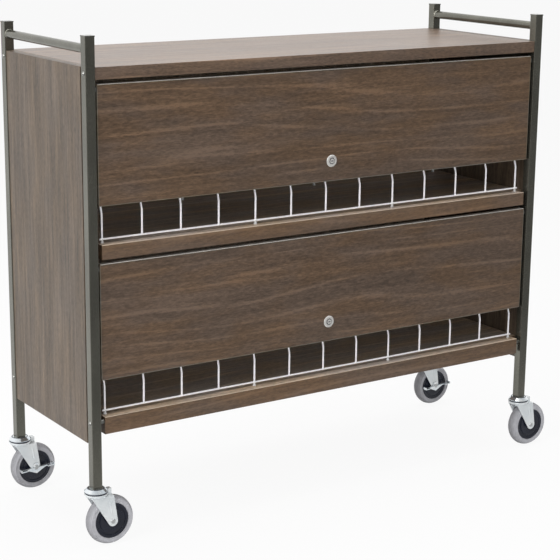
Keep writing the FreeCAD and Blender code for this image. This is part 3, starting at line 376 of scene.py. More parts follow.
class Finish:
    """The nodes of a material, or of the surround, in the making."""

    def __init__(self, name, kind="materials"):
        self.made = getattr(bpy.data, kind).new(name)
        self.made.use_nodes = True
        self.tree = self.made.node_tree
        self.tree.nodes.clear()
        coordinates = self.node("ShaderNodeTexCoord").outputs
        self.place = coordinates["Object"]
        self.facing = coordinates["Normal"]
        self.direction = coordinates["Generated"]

    def node(self, kind, **settings):
        """A new node with its settings."""
        item = self.tree.nodes.new(kind)
        for setting, value in settings.items():
            setattr(item, setting, value)
        return item

    def feed(self, socket, value):
        """Joins a socket to another one, or sets it to a number or a colour."""
        if isinstance(value, bpy.types.NodeSocket):
            self.tree.links.new(value, socket)
        else:
            socket.default_value = value

    def stretched(self, lengths, shift=(0, 0, 0)):
        """Place divided by a feature's length along each axis."""
        mapping = self.node("ShaderNodeMapping")
        mapping.inputs["Scale"].default_value = [1 / length for length in lengths]
        mapping.inputs["Location"].default_value = shift
        self.feed(mapping.inputs["Vector"], self.place)
        return mapping.outputs["Vector"]

    def noise(self, vector, detail=2.0, rough=0.5, distortion=0.0):
        """Smooth noise at a place."""
        noise = self.node("ShaderNodeTexNoise")
        self.feed(noise.inputs["Vector"], vector)
        noise.inputs["Scale"].default_value = 1
        noise.inputs["Detail"].default_value = detail
        noise.inputs["Roughness"].default_value = rough
        noise.inputs["Distortion"].default_value = distortion
        return noise.outputs["Fac"]

    def grain(self, size, **settings):
        """Noise whose features have one size, or one size along each axis."""
        lengths = size if isinstance(size, tuple) else (size,) * 3
        return self.noise(self.stretched(lengths), **settings)

    def parts(self, vector):
        """The X, Y and Z of a vector."""
        work = self.node("ShaderNodeSeparateXYZ")
        self.feed(work.inputs[0], vector)
        return work.outputs

    def reckon(self, operation, first, second=0.0, third=0.0):
        """One step of arithmetic on numbers."""
        work = self.node("ShaderNodeMath", operation=operation)
        for socket, value in zip(work.inputs, (first, second, third)):
            self.feed(socket, value)
        return work.outputs[0]

    def spread(self, value, low, high, to_low=0.0, to_high=1.0):
        """Maps a range to another one and keeps inside it."""
        work = self.node("ShaderNodeMapRange")
        for socket, number in zip(work.inputs, (value, low, high, to_low, to_high)):
            self.feed(socket, number)
        return work.outputs[0]

    def ramp(self, factor, stops):
        """Colour ramp through (place, colour) stops."""
        ramp = self.node("ShaderNodeValToRGB")
        elements = ramp.color_ramp.elements
        while len(elements) < len(stops):
            elements.new(1)
        for element, (place, colour) in zip(elements, stops):
            element.position = place
            element.color = (*colour, 1)
        self.feed(ramp.inputs["Fac"], factor)
        return ramp.outputs["Color"]

    def shades(self, value, tone, factors, span=USUAL):
        """Shades of a tone at even places, while the value crosses the span."""
        places = np.linspace(0, 1, len(factors))
        stops = [(place, scaled(tone, factor)) for place, factor in zip(places, factors)]
        return self.ramp(self.spread(value, *span), stops)

    def blend(self, factor, first, second, kind="RGBA"):
        """Mixes two colours, or two numbers of the kind FLOAT, by a factor."""
        mix = self.node("ShaderNodeMix", data_type=kind)
        first_socket, result = (6, 2) if kind == "RGBA" else (2, 0)
        self.feed(mix.inputs[0], factor)
        self.feed(mix.inputs[first_socket], first)
        self.feed(mix.inputs[first_socket + 1], second)
        return mix.outputs[result]

    def end(self, colour, gloss, roughness, relief, depth, **fixed):
        """Ends in a Principled shader whose roughness follows the gloss, and its bump the relief.

        The fixed values are set on the shader's own sockets.
        """
        bump = self.node("ShaderNodeBump")
        bump.inputs["Strength"].default_value = 1
        bump.inputs["Distance"].default_value = depth
        self.feed(bump.inputs["Height"], relief)
        shader = self.node("ShaderNodeBsdfPrincipled")
        self.feed(shader.inputs["Base Color"], colour)
        self.feed(shader.inputs["Roughness"], self.spread(gloss, *USUAL, *roughness))
        self.feed(shader.inputs["Normal"], bump.outputs["Normal"])
        for socket, value in fixed.items():
            shader.inputs[socket.replace("_", " ")].default_value = value
        self.close(shader)

    def close(self, shader, output="ShaderNodeOutputMaterial"):
        """Joins the last shader to the output and gives what was made."""
        self.feed(self.node(output).inputs["Surface"], shader.outputs[0])
        return self.made


def scaled(colour, factor):
    """A colour times a factor, at most 1."""
    return tuple(min(1.0, part * factor) for part in colour)


def tinted(colour, tint):
    """A colour times a tint, part by part."""
    return tuple(part * change for part, change in zip(colour, tint))


def opaque(colour):
    """A colour with full alpha."""
    return (*colour, 1)


# Layers of the laminate: length along the grain, width across it, and the noise's settings.
# The first four are mixed into the tone.
GRAIN = {
    "bands": (850 * MM, 85 * MM, {"detail": 1}),
    "runs": (300 * MM, 15 * MM, {"detail": 2, "distortion": 0.25}),
    "streaks": (100 * MM, 4.8 * MM, {"detail": 3, "rough": 0.6}),
    "flecks": (13 * MM, 3 * MM, {"detail": 2, "rough": 0.6}),
    "field": (1100 * MM, 160 * MM, {"detail": 1}),
    "turn": (210 * MM, 60 * MM, {"detail": 3}),
    "pores": (14 * MM, 0.6 * MM, {"detail": 1}),
}
GROWTH_PITCH = 43 * MM
GROWTH_WANDER = 26
GRAIN_SWING = 0.46
GRAIN_STEPS = ((0.0, -1.0), (0.35, -0.30), (0.62, 0.30), (1.0, 1.20))
WARM = (0.06, 0, -0.12)
COOL = (-0.07, 0, 0.13)
PORE_SHARE = 0.35
PORE_TONE = 0.45
CREST_RANGE = (0.72, 1.0)
RUN_RANGE = (0.40, 0.60, 0.25, 1.0)
TONE_RANGE = (0.36, 0.66)
TURN_RANGE = (0.40, 0.60)
PORE_RANGE = (0.60, 0.68)
# how far a face must look up to take the painted top light
TOP_LIGHT_RANGE = (0.5, 0.9)
FLECK_RELIEF = 0.5


def laminate(name, tone, along, shift, rough=0.42, contrast=1.0, shares=(0.12, 0.18, 0.16, 0.40, 0.14),
             hue=0.75, ior=1.5, lift=(1, 1, 1)):
    """Walnut laminate whose grain runs along one axis.

    Slow bands across the grain, narrower runs, thin streaks, short flecks and light growth
    lines are mixed in the given shares into one tone ramp. The growth lines are the crests of
    sin(2 pi place across the grain / pitch + a long smooth field). A slow field turns the tone
    from warm to cool, and short dark pores lie over it. The painted top light multiplies the
    colour of faces that look up: painted light, brighter tops as if lit from above.
    """
    finish = Finish(name)
    grain = {}
    for layer, (long, wide, settings) in GRAIN.items():
        lengths = [long if axis == along else wide for axis in "xyz"]
        grain[layer] = finish.noise(finish.stretched(lengths, shift), **settings)

    place = finish.parts(finish.place)
    across = finish.reckon("ADD", *[place[axis.upper()] for axis in "xyz" if axis != along])
    wander = finish.reckon("MULTIPLY", grain["field"], GROWTH_WANDER)
    phase = finish.reckon("MULTIPLY_ADD", across, TAU / GROWTH_PITCH, wander)
    crest = finish.spread(finish.reckon("SINE", phase), *CREST_RANGE)
    growth = finish.reckon("MULTIPLY", crest, finish.spread(grain["runs"], *RUN_RANGE))

    *mixed_shares, growth_share = shares
    value = 0.0
    for layer, share in zip(GRAIN, mixed_shares):
        value = finish.reckon("MULTIPLY_ADD", grain[layer], share / sum(mixed_shares), value)
    value = finish.reckon("MULTIPLY_ADD", growth, growth_share, value)
    level = finish.spread(value, *TONE_RANGE)
    swing = GRAIN_SWING * contrast

    def wood_of(turned):
        wood = tinted(tone, [1 + hue * part for part in turned])
        return finish.ramp(level, [(place, scaled(wood, 1 + step * swing)) for place, step in GRAIN_STEPS])

    wood = finish.blend(finish.spread(grain["turn"], *TURN_RANGE), wood_of(WARM), wood_of(COOL))
    pores = finish.spread(grain["pores"], *PORE_RANGE)
    wood = finish.blend(finish.reckon("MULTIPLY", pores, PORE_SHARE), wood, opaque(scaled(tone, PORE_TONE)))
    # painted light: faces that look up are multiplied by the painted top light, so the tops look lit from
    # above
    up = finish.spread(finish.parts(finish.facing)["Z"], *TOP_LIGHT_RANGE)
    lifted = finish.node("ShaderNodeVectorMath", operation="MULTIPLY")
    finish.feed(lifted.inputs[0], wood)
    finish.feed(lifted.inputs[1], finish.blend(up, opaque((1, 1, 1)), opaque(lift)))
    relief = finish.reckon("SUBTRACT", finish.reckon("MULTIPLY", grain["flecks"], FLECK_RELIEF), pores)
    finish.end(lifted.outputs[0], grain["streaks"], (rough - 0.04, rough + 0.06), relief, 0.06 * MM,
               IOR=ior)


def frame_coat(tone):
    """Glossy metallic coat: fine flake, a soft orange peel and a slow change of tone."""
    finish = Finish("frame_coat")
    flake = finish.grain(1.1 * MM, detail=2)
    cloud = finish.grain((50 * MM, 50 * MM, 160 * MM), detail=3)
    peel = finish.grain(3.2 * MM, detail=1)
    value = finish.reckon("MULTIPLY_ADD", cloud, 0.55, finish.reckon("MULTIPLY", flake, 0.45))
    colour = finish.shades(value, tone, (0.78, 1, 1.28), span=(0.32, 0.68))
    finish.end(colour, flake, (0.18, 0.28), peel, 0.03 * MM, Metallic=0.85, Coat_Weight=0.25,
               Coat_Roughness=0.12)


def plated(name, tone, rough, tint=(1, 1, 1), cloud_size=30 * MM, metal=1.0):
    """Plated metal: slow clouds of tint, and fine scratches in the gloss."""
    finish = Finish(name)
    cloud = finish.grain(cloud_size, detail=3)
    scratch = finish.grain((0.9 * MM, 0.9 * MM, 11 * MM), detail=3, rough=0.7)
    colour = finish.ramp(finish.spread(cloud, 0.35, 0.65), [
        (0.0, scaled(tinted(tone, tint), 0.93)),
        (1.0, scaled(tone, 1.05)),
    ])
    finish.end(colour, scratch, (rough * 0.75, rough * 1.35), scratch, 0.01 * MM, Metallic=metal)


def wire_coat(name, tone, rough):
    """Dipped coat: glossy, with slow thick and thin places and tiny pits."""
    finish = Finish(name)
    thick = finish.grain(12 * MM, detail=2)
    pits = finish.grain(1.2 * MM, detail=1)
    colour = finish.shades(thick, tone, (0.93, 1.04))
    relief = finish.reckon("MULTIPLY_ADD", thick, 1.0, finish.reckon("MULTIPLY", pits, 0.25))
    finish.end(colour, pits, (rough, rough + 0.1), relief, 0.12 * MM, IOR=1.5)


SCUFF_RANGE = (0.58, 0.70)
SCUFF_SHARE = 0.35
TREAD_RANGE = (0.35, 0.95, 0.55, 0.0)


def rubber(tone):
    """Grey rubber: mottled, with scuffs and a fine grain, and darker on the tread than at the sides.

    A place counts as tread where its face hardly looks along the wheel's axle.
    """
    finish = Finish("caster_tyre")
    mottle = finish.grain(14 * MM, detail=4)
    grain = finish.grain(0.8 * MM, detail=2)
    scuff = finish.grain((6 * MM, 20 * MM, 6 * MM), detail=3, rough=0.7)
    value = finish.reckon("MULTIPLY_ADD", mottle, 0.6, finish.reckon("MULTIPLY", grain, 0.4))
    colour = finish.shades(value, tone, (0.84, 1, 1.1), span=(0.36, 0.64))
    worn = finish.reckon("MULTIPLY", finish.spread(scuff, *SCUFF_RANGE), SCUFF_SHARE)
    colour = finish.blend(worn, colour, opaque(scaled(tone, 0.6)))
    sideways = finish.reckon("ABSOLUTE", finish.parts(finish.facing)["Y"])
    tread = finish.spread(sideways, *TREAD_RANGE)
    colour = finish.blend(tread, colour, opaque(scaled(tone, 0.45)))
    finish.end(colour, grain, (0.62, 0.78), grain, 0.08 * MM)


def speckled(name, tone, rough):
    """Moulded plastic, also used for the pale pieces of painted highlight and the dark pieces of painted
    shade: a fine spark texture and a faint change of tone.
    """
    finish = Finish(name)
    spark = finish.grain(0.9 * MM, detail=2)
    slow = finish.grain(25 * MM, detail=2)
    colour = finish.shades(slow, tone, (0.88, 1.14))
    finish.end(colour, spark, (rough - 0.05, rough + 0.08), spark, 0.03 * MM)


BLUISH = (0.94, 1.0, 1.06)


def make_finishes(colours):
    """Makes every finish; the one of a material slot has the slot's name."""
    laminate("door_laminate", colours.door, "x", (3.1, 0.4, 7.3))
    laminate("side_laminate", colours.side, "z", (1.7, 9.2, 2.6), contrast=1.45,
             shares=(0.06, 0.28, 0.36, 0.24, 0.04), hue=0.4)
    laminate("back_laminate", colours.back, "z", (4.9, 3.3, 8.1), contrast=0.7, hue=0.3)
    # painted highlight: the pale strip on the doors' top edges
    speckled("door_strip", colours.strip, 0.3)
    # painted shade: the dark colour laid in the gaps of the locks and the casters' races
    speckled("dark_seal", colours.seal, 0.4)
    laminate("door_band", colours.band, "x", (3.1, 0.4, 7.3), contrast=0.5)
    laminate("worktop_laminate", colours.worktop, "x", (5.9, 2.2, 0.8), 0.34, 1.4, hue=0.4, ior=1.75)
    # painted light: the shelves' tops are painted several times brighter than their fronts, as if lit from
    # above
    laminate("shelf_laminate", colours.shelf, "x", (8.3, 6.1, 4.4), 0.4, 0.8, lift=(4.4, 5.5, 6.9))
    frame_coat(colours.frame)
    wire_coat("divider_coat", colours.wire, 0.24)
    speckled("divider_foot", colours.foot, 0.4)
    plated("bolt_zinc", colours.bolt, 0.34)
    plated("slide_steel", colours.steel, 0.38)
    plated("lock_chrome", colours.chrome, 0.22, cloud_size=20 * MM, metal=0.6)
    plated("race_zinc", colours.zinc, 0.13, BLUISH, 20 * MM, 0.9)
    plated("lever_zinc", colours.zinc, 0.16, BLUISH, 15 * MM, 0.75)
    plated("axle_steel", scaled(colours.zinc, 0.6), 0.35, metal=0.6)
    # painted highlight: the pale line on the shelves' front edges
    speckled("edge_line", colours.line, 0.4)
    plated("caster_zinc", colours.zinc, 0.2, (0.97, 1.0, 1.02), 50 * MM, 0.4)
    speckled("glide_nylon", colours.nylon, 0.45)
    speckled("hinge_bush", colours.bush, 0.5)
    speckled("hub_plastic", colours.hub, 0.28)
    rubber(colours.tyre)


# ------ operators
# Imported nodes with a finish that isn't their slot's, by the end of their name.
OWN_FINISHES = {
    "back_panel": "back_laminate",
    "_caster_stem": "race_zinc",
    "_axle": "axle_steel",
    "_brake_lever": "lever_zinc",
}


class CHARTRACK_OT_finishes(bpy.types.Operator):
    """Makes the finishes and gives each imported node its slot's, or its own"""
    bl_idname = "chartrack.finishes"
    bl_label = "Finishes"

    def execute(self, context):
        for material in list(bpy.data.materials):
            material.name = "packed_" + material.name
        make_finishes(context.scene.chart_rack_colours)
        for name, node in frame["nodes"].items():
            finish = node.material_slots[0].material.name.removeprefix("packed_")
            for ending, own in OWN_FINISHES.items():
                if name.endswith(ending):
                    finish = own
            node.material_slots[0].material = bpy.data.materials[finish]
        return {"FINISHED"}


class CHARTRACK_OT_door_bands(bpy.types.Operator):
    """Lays a rounded edge band round each door, and a pale strip of painted highlight along its top edge"""
    bl_idname = "chartrack.door_bands"
    bl_label = "Door bands"

    def execute(self, context):
        sizes = context.scene.chart_rack_sizes
        for tier in TIERS:
            door = Box(f"{tier}_door_panel")
            add_piece(f"{tier}_door_band", [band_shell(door, sizes)], "door_band",
                      f"{tier}_door")
            # painted highlight: a pale strip along the door's top edge stands for light caught there
            middle = [door.centre[1], door.high[2] + sizes.strip_proud - sizes.strip_height / 2]
            strip = bar_shell(door.low[0] + sizes.band_thickness, door.high[0] - sizes.band_thickness,
                              middle, 2 * door.half[1] + sizes.band_proud, sizes.strip_height,
                              sizes.band_round)
            add_piece(f"{tier}_door_strip", [strip], "door_strip", f"{tier}_door")
        return {"FINISHED"}


def band_shell(board, sizes):
    """Band round a board that faces Y: a flat rounded section carried round a rounded loop.

    Point = loop(s) + normal(s) * a(t) in X and Z, and b(t) in Y.
    """
    width, depth, height = 2 * board.half
    loop, normal = rounded_loop(width, height, sizes.band_thickness)
    thick = sizes.band_thickness + sizes.band_proud
    section, _ = rounded_loop(thick, depth + 2 * sizes.band_face, sizes.band_round)
    out = section[:, 0] + sizes.band_proud - thick / 2
    flat = loop[:, None] + normal[:, None] * out[None, :, None]
    points = np.stack([flat[..., 0], np.tile(section[:, 1], (len(loop), 1)), flat[..., 1]], axis=-1)
    return grid_shell(board.centre + points, close_rows=True, close_columns=True)


HIGHLIGHT_ROUND = 0.25
HIGHLIGHT_SET = np.array([0.45, -0.45])


class CHARTRACK_OT_board_bands(bpy.types.Operator):
    """Bands the fronts of the worktop and the two shelves, and lays a pale line of painted highlight on
    each shelf's edge
    """
    bl_idname = "chartrack.board_bands"
    bl_label = "Board bands"

    def execute(self, context):
        sizes = context.scene.chart_rack_sizes
        left = Box("front_left_post").high[0]
        right = Box("front_right_post").low[0]
        for node, slot, gap in (("top_panel", "worktop_laminate", sizes.top_gap),
                                ("middle_shelf", "shelf_laminate", sizes.shelf_gap),
                                ("bottom_shelf", "shelf_laminate", sizes.shelf_gap)):
            board = Box(node)
            middle = [board.low[1] + sizes.band_thickness / 2 - sizes.band_proud, board.centre[2]]
            band = bar_shell(left + gap, right - gap, middle, sizes.band_thickness,
                             2 * board.half[2] + sizes.band_proud, sizes.band_round)
            add_piece(f"{node}_band", [band], slot, "root")
            if slot == "shelf_laminate":
                # painted highlight: a pale line along the shelf's front top edge stands for light caught
                # there
                side = sizes.line_side
                edge = np.array([board.low[1] - sizes.band_proud, board.high[2] + sizes.band_proud])
                line = bar_shell(left + gap, right - gap, edge + side * HIGHLIGHT_SET, side, side,
                                 side * HIGHLIGHT_ROUND, steps=4)
                add_piece(f"{node}_edge_line", [line], "edge_line", "root")
        return {"FINISHED"}


BEAD_RIPPLES = 26


class CHARTRACK_OT_handle_welds(bpy.types.Operator):
    """Runs a weld bead round both ends of each handle tube"""
    bl_idname = "chartrack.handle_welds"
    bl_label = "Handle welds"

    def execute(self, context):
        bead = context.scene.chart_rack_sizes.bead
        for side in ("left", "right"):
            tube = Box(f"{side}_handle_tube")
            x, _, z = tube.centre
            ring = ripple_ring(tube.half[0] - bead, bead, BEAD_RIPPLES)
            ends = [laid(ring, (x, y, z), (0, 1, 0)) for y in (tube.low[1], tube.high[1])]
            add_piece(f"{side}_handle_welds", ends, "frame_coat", "root")
        return {"FINISHED"}


WELD_SHAPE = (1, 0.92, 0.62)


class CHARTRACK_OT_wire_welds(bpy.types.Operator):
    """Puts a small coated weld where each divider wire stands on its rail"""
    bl_idname = "chartrack.wire_welds"
    bl_label = "Wire welds"

    def execute(self, context):
        radii = [context.scene.chart_rack_sizes.weld * share for share in WELD_SHAPE]
        for tier in TIERS:
            rack = Box(f"{tier}_divider_rack")
            feet = Box(f"{tier}_divider_feet")
            wire = feet.high[2] - rack.low[2]
            foot = rack.low[1] + wire - feet.low[1]
            xs = np.linspace(feet.low[0] + foot, feet.high[0] - foot, WIRES)
            ys = (rack.low[1] + wire, rack.high[1] - wire)
            centres = [(x, y, rack.low[2] + 2 * wire) for x in xs for y in ys]
            add_piece(f"{tier}_wire_welds", blob_shells(centres, radii), "divider_coat",
                      "root")
        return {"FINISHED"}


# Corners of a lock's turned rings: a radius, millimetres more, and a share of the flange's rise.
LOCK_FACE = (
    ("bore", 0, 0.2),
    ("groove", 0, 0.2),
    ("groove", 0, 0.8),
    ("groove", 1.0, 0.9),
    ("flange", -4.0, 1),
    ("flange", -2.4, 1),
    ("flange", 0, 0.35),
    ("flange", 0, 0),
    ("wall", 0, 0),
)
# painted shade: the corners of a dark ring in the gap round the plug
LOCK_PLUG_SHADE = (("bore", 0, 0.15), ("bore", 0, 0.5), ("groove", 0, 0.5), ("groove", 0, 0.15))
FLANGE_ROUND = 0.5 * MM
PLUG_SHADE_ROUND = 0.4 * MM
PLUG_GAP = 0.1 * MM
BARREL_SHARE = 19 / 32
BARREL_WALL = 1.5 * MM
FLANGE_ROOT = 3 * MM
SLEEVE_SET = 1 * MM
# painted shade: size of the dark bar in the keyway
SHADE_BAR_DEPTH = 3 * MM
SHADE_BAR_ROUND = 0.3 * MM


def lock_corners(corners, radii, rise):
    """The (radius, height) of each corner of a lock's ring."""
    return [(radii[name] + more * MM, rise * share) for name, more, share in corners]


class CHARTRACK_OT_locks(bpy.types.Operator):
    """Turns each lock's flange and threaded barrel, a dark ring of painted shade round its plug and a dark
    bar of painted shade in its keyway
    """
    bl_idname = "chartrack.locks"
    bl_label = "Locks"

    def execute(self, context):
        sizes = context.scene.chart_rack_sizes
        for tier in TIERS:
            body = Box(f"{tier}_lock_body")
            plug = Box(f"{tier}_lock_plug")
            front = Box(f"{tier}_door_panel").low[1]
            x, _, z = body.centre
            rise = front - body.low[1]
            barrel = body.half[0] * BARREL_SHARE
            bore = plug.half[0] + PLUG_GAP
            radii = {
                "bore": bore,
                "groove": bore + sizes.gasket_width,
                "flange": body.half[0],
                "wall": barrel - BARREL_WALL,
            }
            face = [
                (bore, -FLANGE_ROOT),
                *lock_corners(LOCK_FACE, radii, rise),
                (radii["wall"], -FLANGE_ROOT),
            ]
            sleeve = thread_shell(barrel, bore, front - body.high[1], -SLEEVE_SET, sizes.thread_pitch,
                                  sizes.thread_depth)
            shells = [laid(shell, (x, front, z), FORWARD)
                      for shell in (turned_shell(filleted(face, FLANGE_ROUND)), sleeve)]
            add_piece(f"{tier}_lock_collar", shells, "lock_chrome", f"{tier}_door",
                      [f"{tier}_lock_body"])
            # painted shade: a dark ring round the plug stands for the shade in the gap there
            ring = turned_shell(filleted(lock_corners(LOCK_PLUG_SHADE, radii, rise), PLUG_SHADE_ROUND))
            plug_shade = laid(ring, (x, front, z), FORWARD)
            add_piece(f"{tier}_lock_gasket", [plug_shade], "dark_seal", f"{tier}_door")
            # painted shade: a dark bar just behind the plug's face stands for the shade in the keyway
            middle = [plug.low[1] + sizes.keyway_set + SHADE_BAR_DEPTH / 2, z]
            reach = sizes.keyway_length / 2
            shade_bar = bar_shell(x - reach, x + reach, middle, SHADE_BAR_DEPTH, sizes.keyway_width,
                                SHADE_BAR_ROUND, steps=4)
            add_piece(f"{tier}_keyway_shutter", [shade_bar], "dark_seal", f"{tier}_lock")
        return {"FINISHED"}


# painted shade: how far the dark ring sits inside the race's outside
RACE_SHADE_SET = 0.1 * MM


def shade_ring(radius, deep, tall, sides=12):
    """An ellipse about (radius, 0), which is (radius + deep cos t, tall sin t), turned about Z."""
    angle = full_turn(sides)
    return turned_shell(np.stack([radius + deep * np.cos(angle), tall * np.sin(angle)], axis=1))


class CHARTRACK_OT_race_gap_shades(bpy.types.Operator):
    """Lays dark rings of painted shade in the grooves between each caster's races and round its collar"""
    bl_idname = "chartrack.race_seals"
    bl_label = "Race seals"

    def execute(self, context):
        sizes = context.scene.chart_rack_sizes
        deep, thick = sizes.seal_depth, sizes.collar_seal
        for corner in CORNERS:
            stem = Box(f"{corner}_caster_stem")
            x, y, _ = stem.centre
            foot = Box(f"{corner}_post").low[2]
            # painted shade: dark rings stand for the shade in the gap between the races and round the
            # collar
            race = shade_ring(stem.half[0] - RACE_SHADE_SET - deep, deep, sizes.seal_height)
            collar = shade_ring(sizes.collar_radius, thick, thick)
            rings = [laid(ring, (x, y, foot - drop), (0, 0, 1))
                     for ring, drop in ((race, sizes.seal_drop), (collar, thick / 2))]
            add_piece(f"{corner}_race_seal", rings, "dark_seal", "root")
        return {"FINISHED"}


class CHARTRACK_OT_tyres(bpy.types.Operator):
    """Turns each tyre with a round tread, a mould line and stepped sidewalls"""
    bl_idname = "chartrack.tyres"
    bl_label = "Tyres"

    def execute(self, context):
        ridge = context.scene.chart_rack_sizes.mould_line
        for corner in CORNERS:
            tyre = Box(f"{corner}_tyre")
            section = tyre_section(tyre.half[2], Box(f"{corner}_hub").half[2], tyre.half[1], ridge)
            shell = laid(turned_shell(section, turns=160), tyre.centre, FORWARD)
            add_piece(f"{corner}_tyre_tread", [shell], "caster_tyre", f"{corner}_wheel",
                      [f"{corner}_tyre"])
        return {"FINISHED"}


TREAD_DROP = 6.5 * MM
TREAD_POWER = 2.3
TREAD_LINES = 61
RIDGE_SPREAD = 0.5 * MM
# Steps of a tyre's sidewall in millimetres: out from the shoulder or the seat, and in from the side.
SHOULDER_STEPS = ((-1.4, 0), (-2.0, 0.7))
SEAT_STEPS = ((1.6, 0.9), (0.9, 0.3), (0, 1.0), (-0.2, 1.2))


def tyre_section(radius, seat, half, ridge):
    """Tyre section: the tread's radius falls as its drop times |y / half| to the tread's power.

    The mould line adds ridge times exp(-(y / its spread) squared), and each sidewall steps in to
    the seat in the hub.
    """
    y = np.linspace(-half, half, TREAD_LINES)
    drop = TREAD_DROP * np.abs(y / half) ** TREAD_POWER
    tread = radius - ridge - drop + ridge * np.exp(-(y / RIDGE_SPREAD) ** 2)
    shoulder = radius - ridge - TREAD_DROP
    wall = [(base + out * MM, half - inset * MM)
            for base, steps in ((shoulder, SHOULDER_STEPS), (seat, SEAT_STEPS)) for out, inset in steps]
    mirrored = [(r, -h) for r, h in wall[::-1]]
    return np.array(list(zip(tread, y)) + wall + mirrored)


# Steps of a hub's half section in millimetres, from the rim to the bore: in from the rim and
# back from its face; the radius and back from the rim's face; the radius and back from the boss's.
RIM_STEPS = ((0, 0), (2.2, 0), (3.0, 0.8), (7.0, 0.8), (8.0, 2.6), (12.6, 2.6), (13.4, 0), (19.0, 0.3))
WEB_STEPS = ((15.5, 1.6), (12.4, 1.0))
BOSS_STEPS = ((11.0, 0.8), (10.2, 0), (4.05, 0))
BOSS_PROUD = 3.6 * MM
HUB_ROUND = 0.7 * MM


class CHARTRACK_OT_hubs(bpy.types.Operator):
    """Turns each hub with its rim, ring groove, dished web and boss"""
    bl_idname = "chartrack.hubs"
    bl_label = "Hubs"

    def execute(self, context):
        for corner in CORNERS:
            hub = Box(f"{corner}_hub")
            boss = hub.half[1]
            face = boss - BOSS_PROUD
            side = [(hub.half[2] - inset * MM, face - back * MM) for inset, back in RIM_STEPS]
            side += [(radius * MM, face - back * MM) for radius, back in WEB_STEPS]
            side += [(radius * MM, boss - back * MM) for radius, back in BOSS_STEPS]
            corners = side + [(r, -h) for r, h in side[::-1]]
            shell = laid(turned_shell(filleted(corners, HUB_ROUND), turns=128), hub.centre, FORWARD)
            add_piece(f"{corner}_hub_disc", [shell], "hub_plastic", f"{corner}_wheel",
                      [f"{corner}_hub"])
        return {"FINISHED"}


# Ends of a fork's rib: along X from the axle; then up, from the stem's low end and from the axle.
RIB_TOP = (-10 * MM, 1 * MM)
RIB_END = (-3 * MM, 22 * MM)
LEG_FACE = 3.4 * MM


class CHARTRACK_OT_fork_ribs(bpy.types.Operator):
    """Presses a stiffening rib into the outside of both legs of each fork"""
    bl_idname = "chartrack.fork_ribs"
    bl_label = "Fork ribs"

    def execute(self, context):
        sizes = context.scene.chart_rack_sizes
        for corner in CORNERS:
            axle = Box(f"{corner}_axle").centre
            stem = Box(f"{corner}_caster_stem")
            leg = Box(f"{corner}_hub").half[1] + LEG_FACE
            shells = []
            for way in (-1, 1):
                y = stem.centre[1] + way * leg
                top = np.array([axle[0] + RIB_TOP[0], y, stem.low[2] + RIB_TOP[1]])
                end = np.array([axle[0] + RIB_END[0], y, axle[2] + RIB_END[1]])
                line = (end - top) / np.linalg.norm(end - top)
                out = np.array([0.0, way, 0.0])
                shells.append(rib_shell(top, end, np.cross(line, out), out, sizes.rib_width,
                                        sizes.rib_height))
            add_piece(f"{corner}_fork_ribs", shells, "caster_zinc", f"{corner}_swivel")
        return {"FINISHED"}


# Soft lamps: place and side in metres, the setting of its power, and whether gloss mirrors it.
LAMPS = {
    "key_lamp": ((-4.4, -1.0, 2.9), 2.6, "key_power", True),
    "front_lamp": ((-0.6, -4.6, 0.9), 1.8, "fill_power", False),
    "top_lamp": ((0.2, 0.4, 4.2), 3.0, "top_power", True),
}
AIM = Vector((0, 0, 0.6))


class CHARTRACK_OT_stage(bpy.types.Operator):
    """Lays the pale floor, sets the soft lamps and the even surround, and stands the camera"""
    bl_idname = "chartrack.stage"
    bl_label = "Stage"

    def execute(self, context):
        scene = context.scene
        stage = scene.chart_rack_stage
        make_floor(scene.chart_rack_colours.floor)
        for name, (place, side, power, mirrored) in LAMPS.items():
            add_lamp(name, place, side, getattr(stage, power), mirrored)
        make_surround(scene, stage.sky)
        stand_camera(scene, stage)
        scene.view_settings.view_transform = "Standard"
        return {"FINISHED"}


FLOOR_HALF = 45
FLOOR_LINES = 7
FLOOR_CLOUD = 0.9
FLOOR_GLOW = 0.93
# A low and a high Y, and the strength that gloss mirrors at each.
FLOOR_MIRRORED = (-1.2, 0.6, 0.2, 1.0)
SURROUND_MIRRORED = (-0.9, 0.3, 0.22, 1.0)


def make_floor(tone):
    """A flat grid of points 90 m wide, seen near white, with the object's soft shadow on it."""
    finish = Finish("stage_floor")
    seen = finish.node("ShaderNodeLightPath").outputs
    behind = finish.spread(finish.parts(finish.place)["Y"], *FLOOR_MIRRORED)
    shiny = finish.reckon("MULTIPLY", seen["Is Glossy Ray"], behind)
    clear = finish.reckon("MAXIMUM", seen["Is Camera Ray"], seen["Is Transmission Ray"])
    share = finish.reckon("MAXIMUM", clear, seen["Is Glossy Ray"])
    cloud = finish.grain(FLOOR_CLOUD, detail=3)
    matt = finish.node("ShaderNodeBsdfDiffuse")
    finish.feed(matt.inputs["Color"], finish.ramp(cloud, [(0.0, scaled(tone, 0.97)), (1.0, tone)]))
    glow = finish.node("ShaderNodeEmission")
    finish.feed(glow.inputs["Strength"], finish.reckon("MAXIMUM", clear, shiny))
    mix = finish.node("ShaderNodeMixShader")
    finish.feed(mix.inputs[0], finish.reckon("MULTIPLY", share, FLOOR_GLOW))
    finish.feed(mix.inputs[1], matt.outputs[0])
    finish.feed(mix.inputs[2], glow.outputs[0])
    line = np.linspace(-FLOOR_HALF, FLOOR_HALF, FLOOR_LINES)
    x, y = np.meshgrid(line, line)
    floor = new_object("floor", grid_shell(np.stack([x, y, 0 * x], axis=-1)), finish.close(mix))


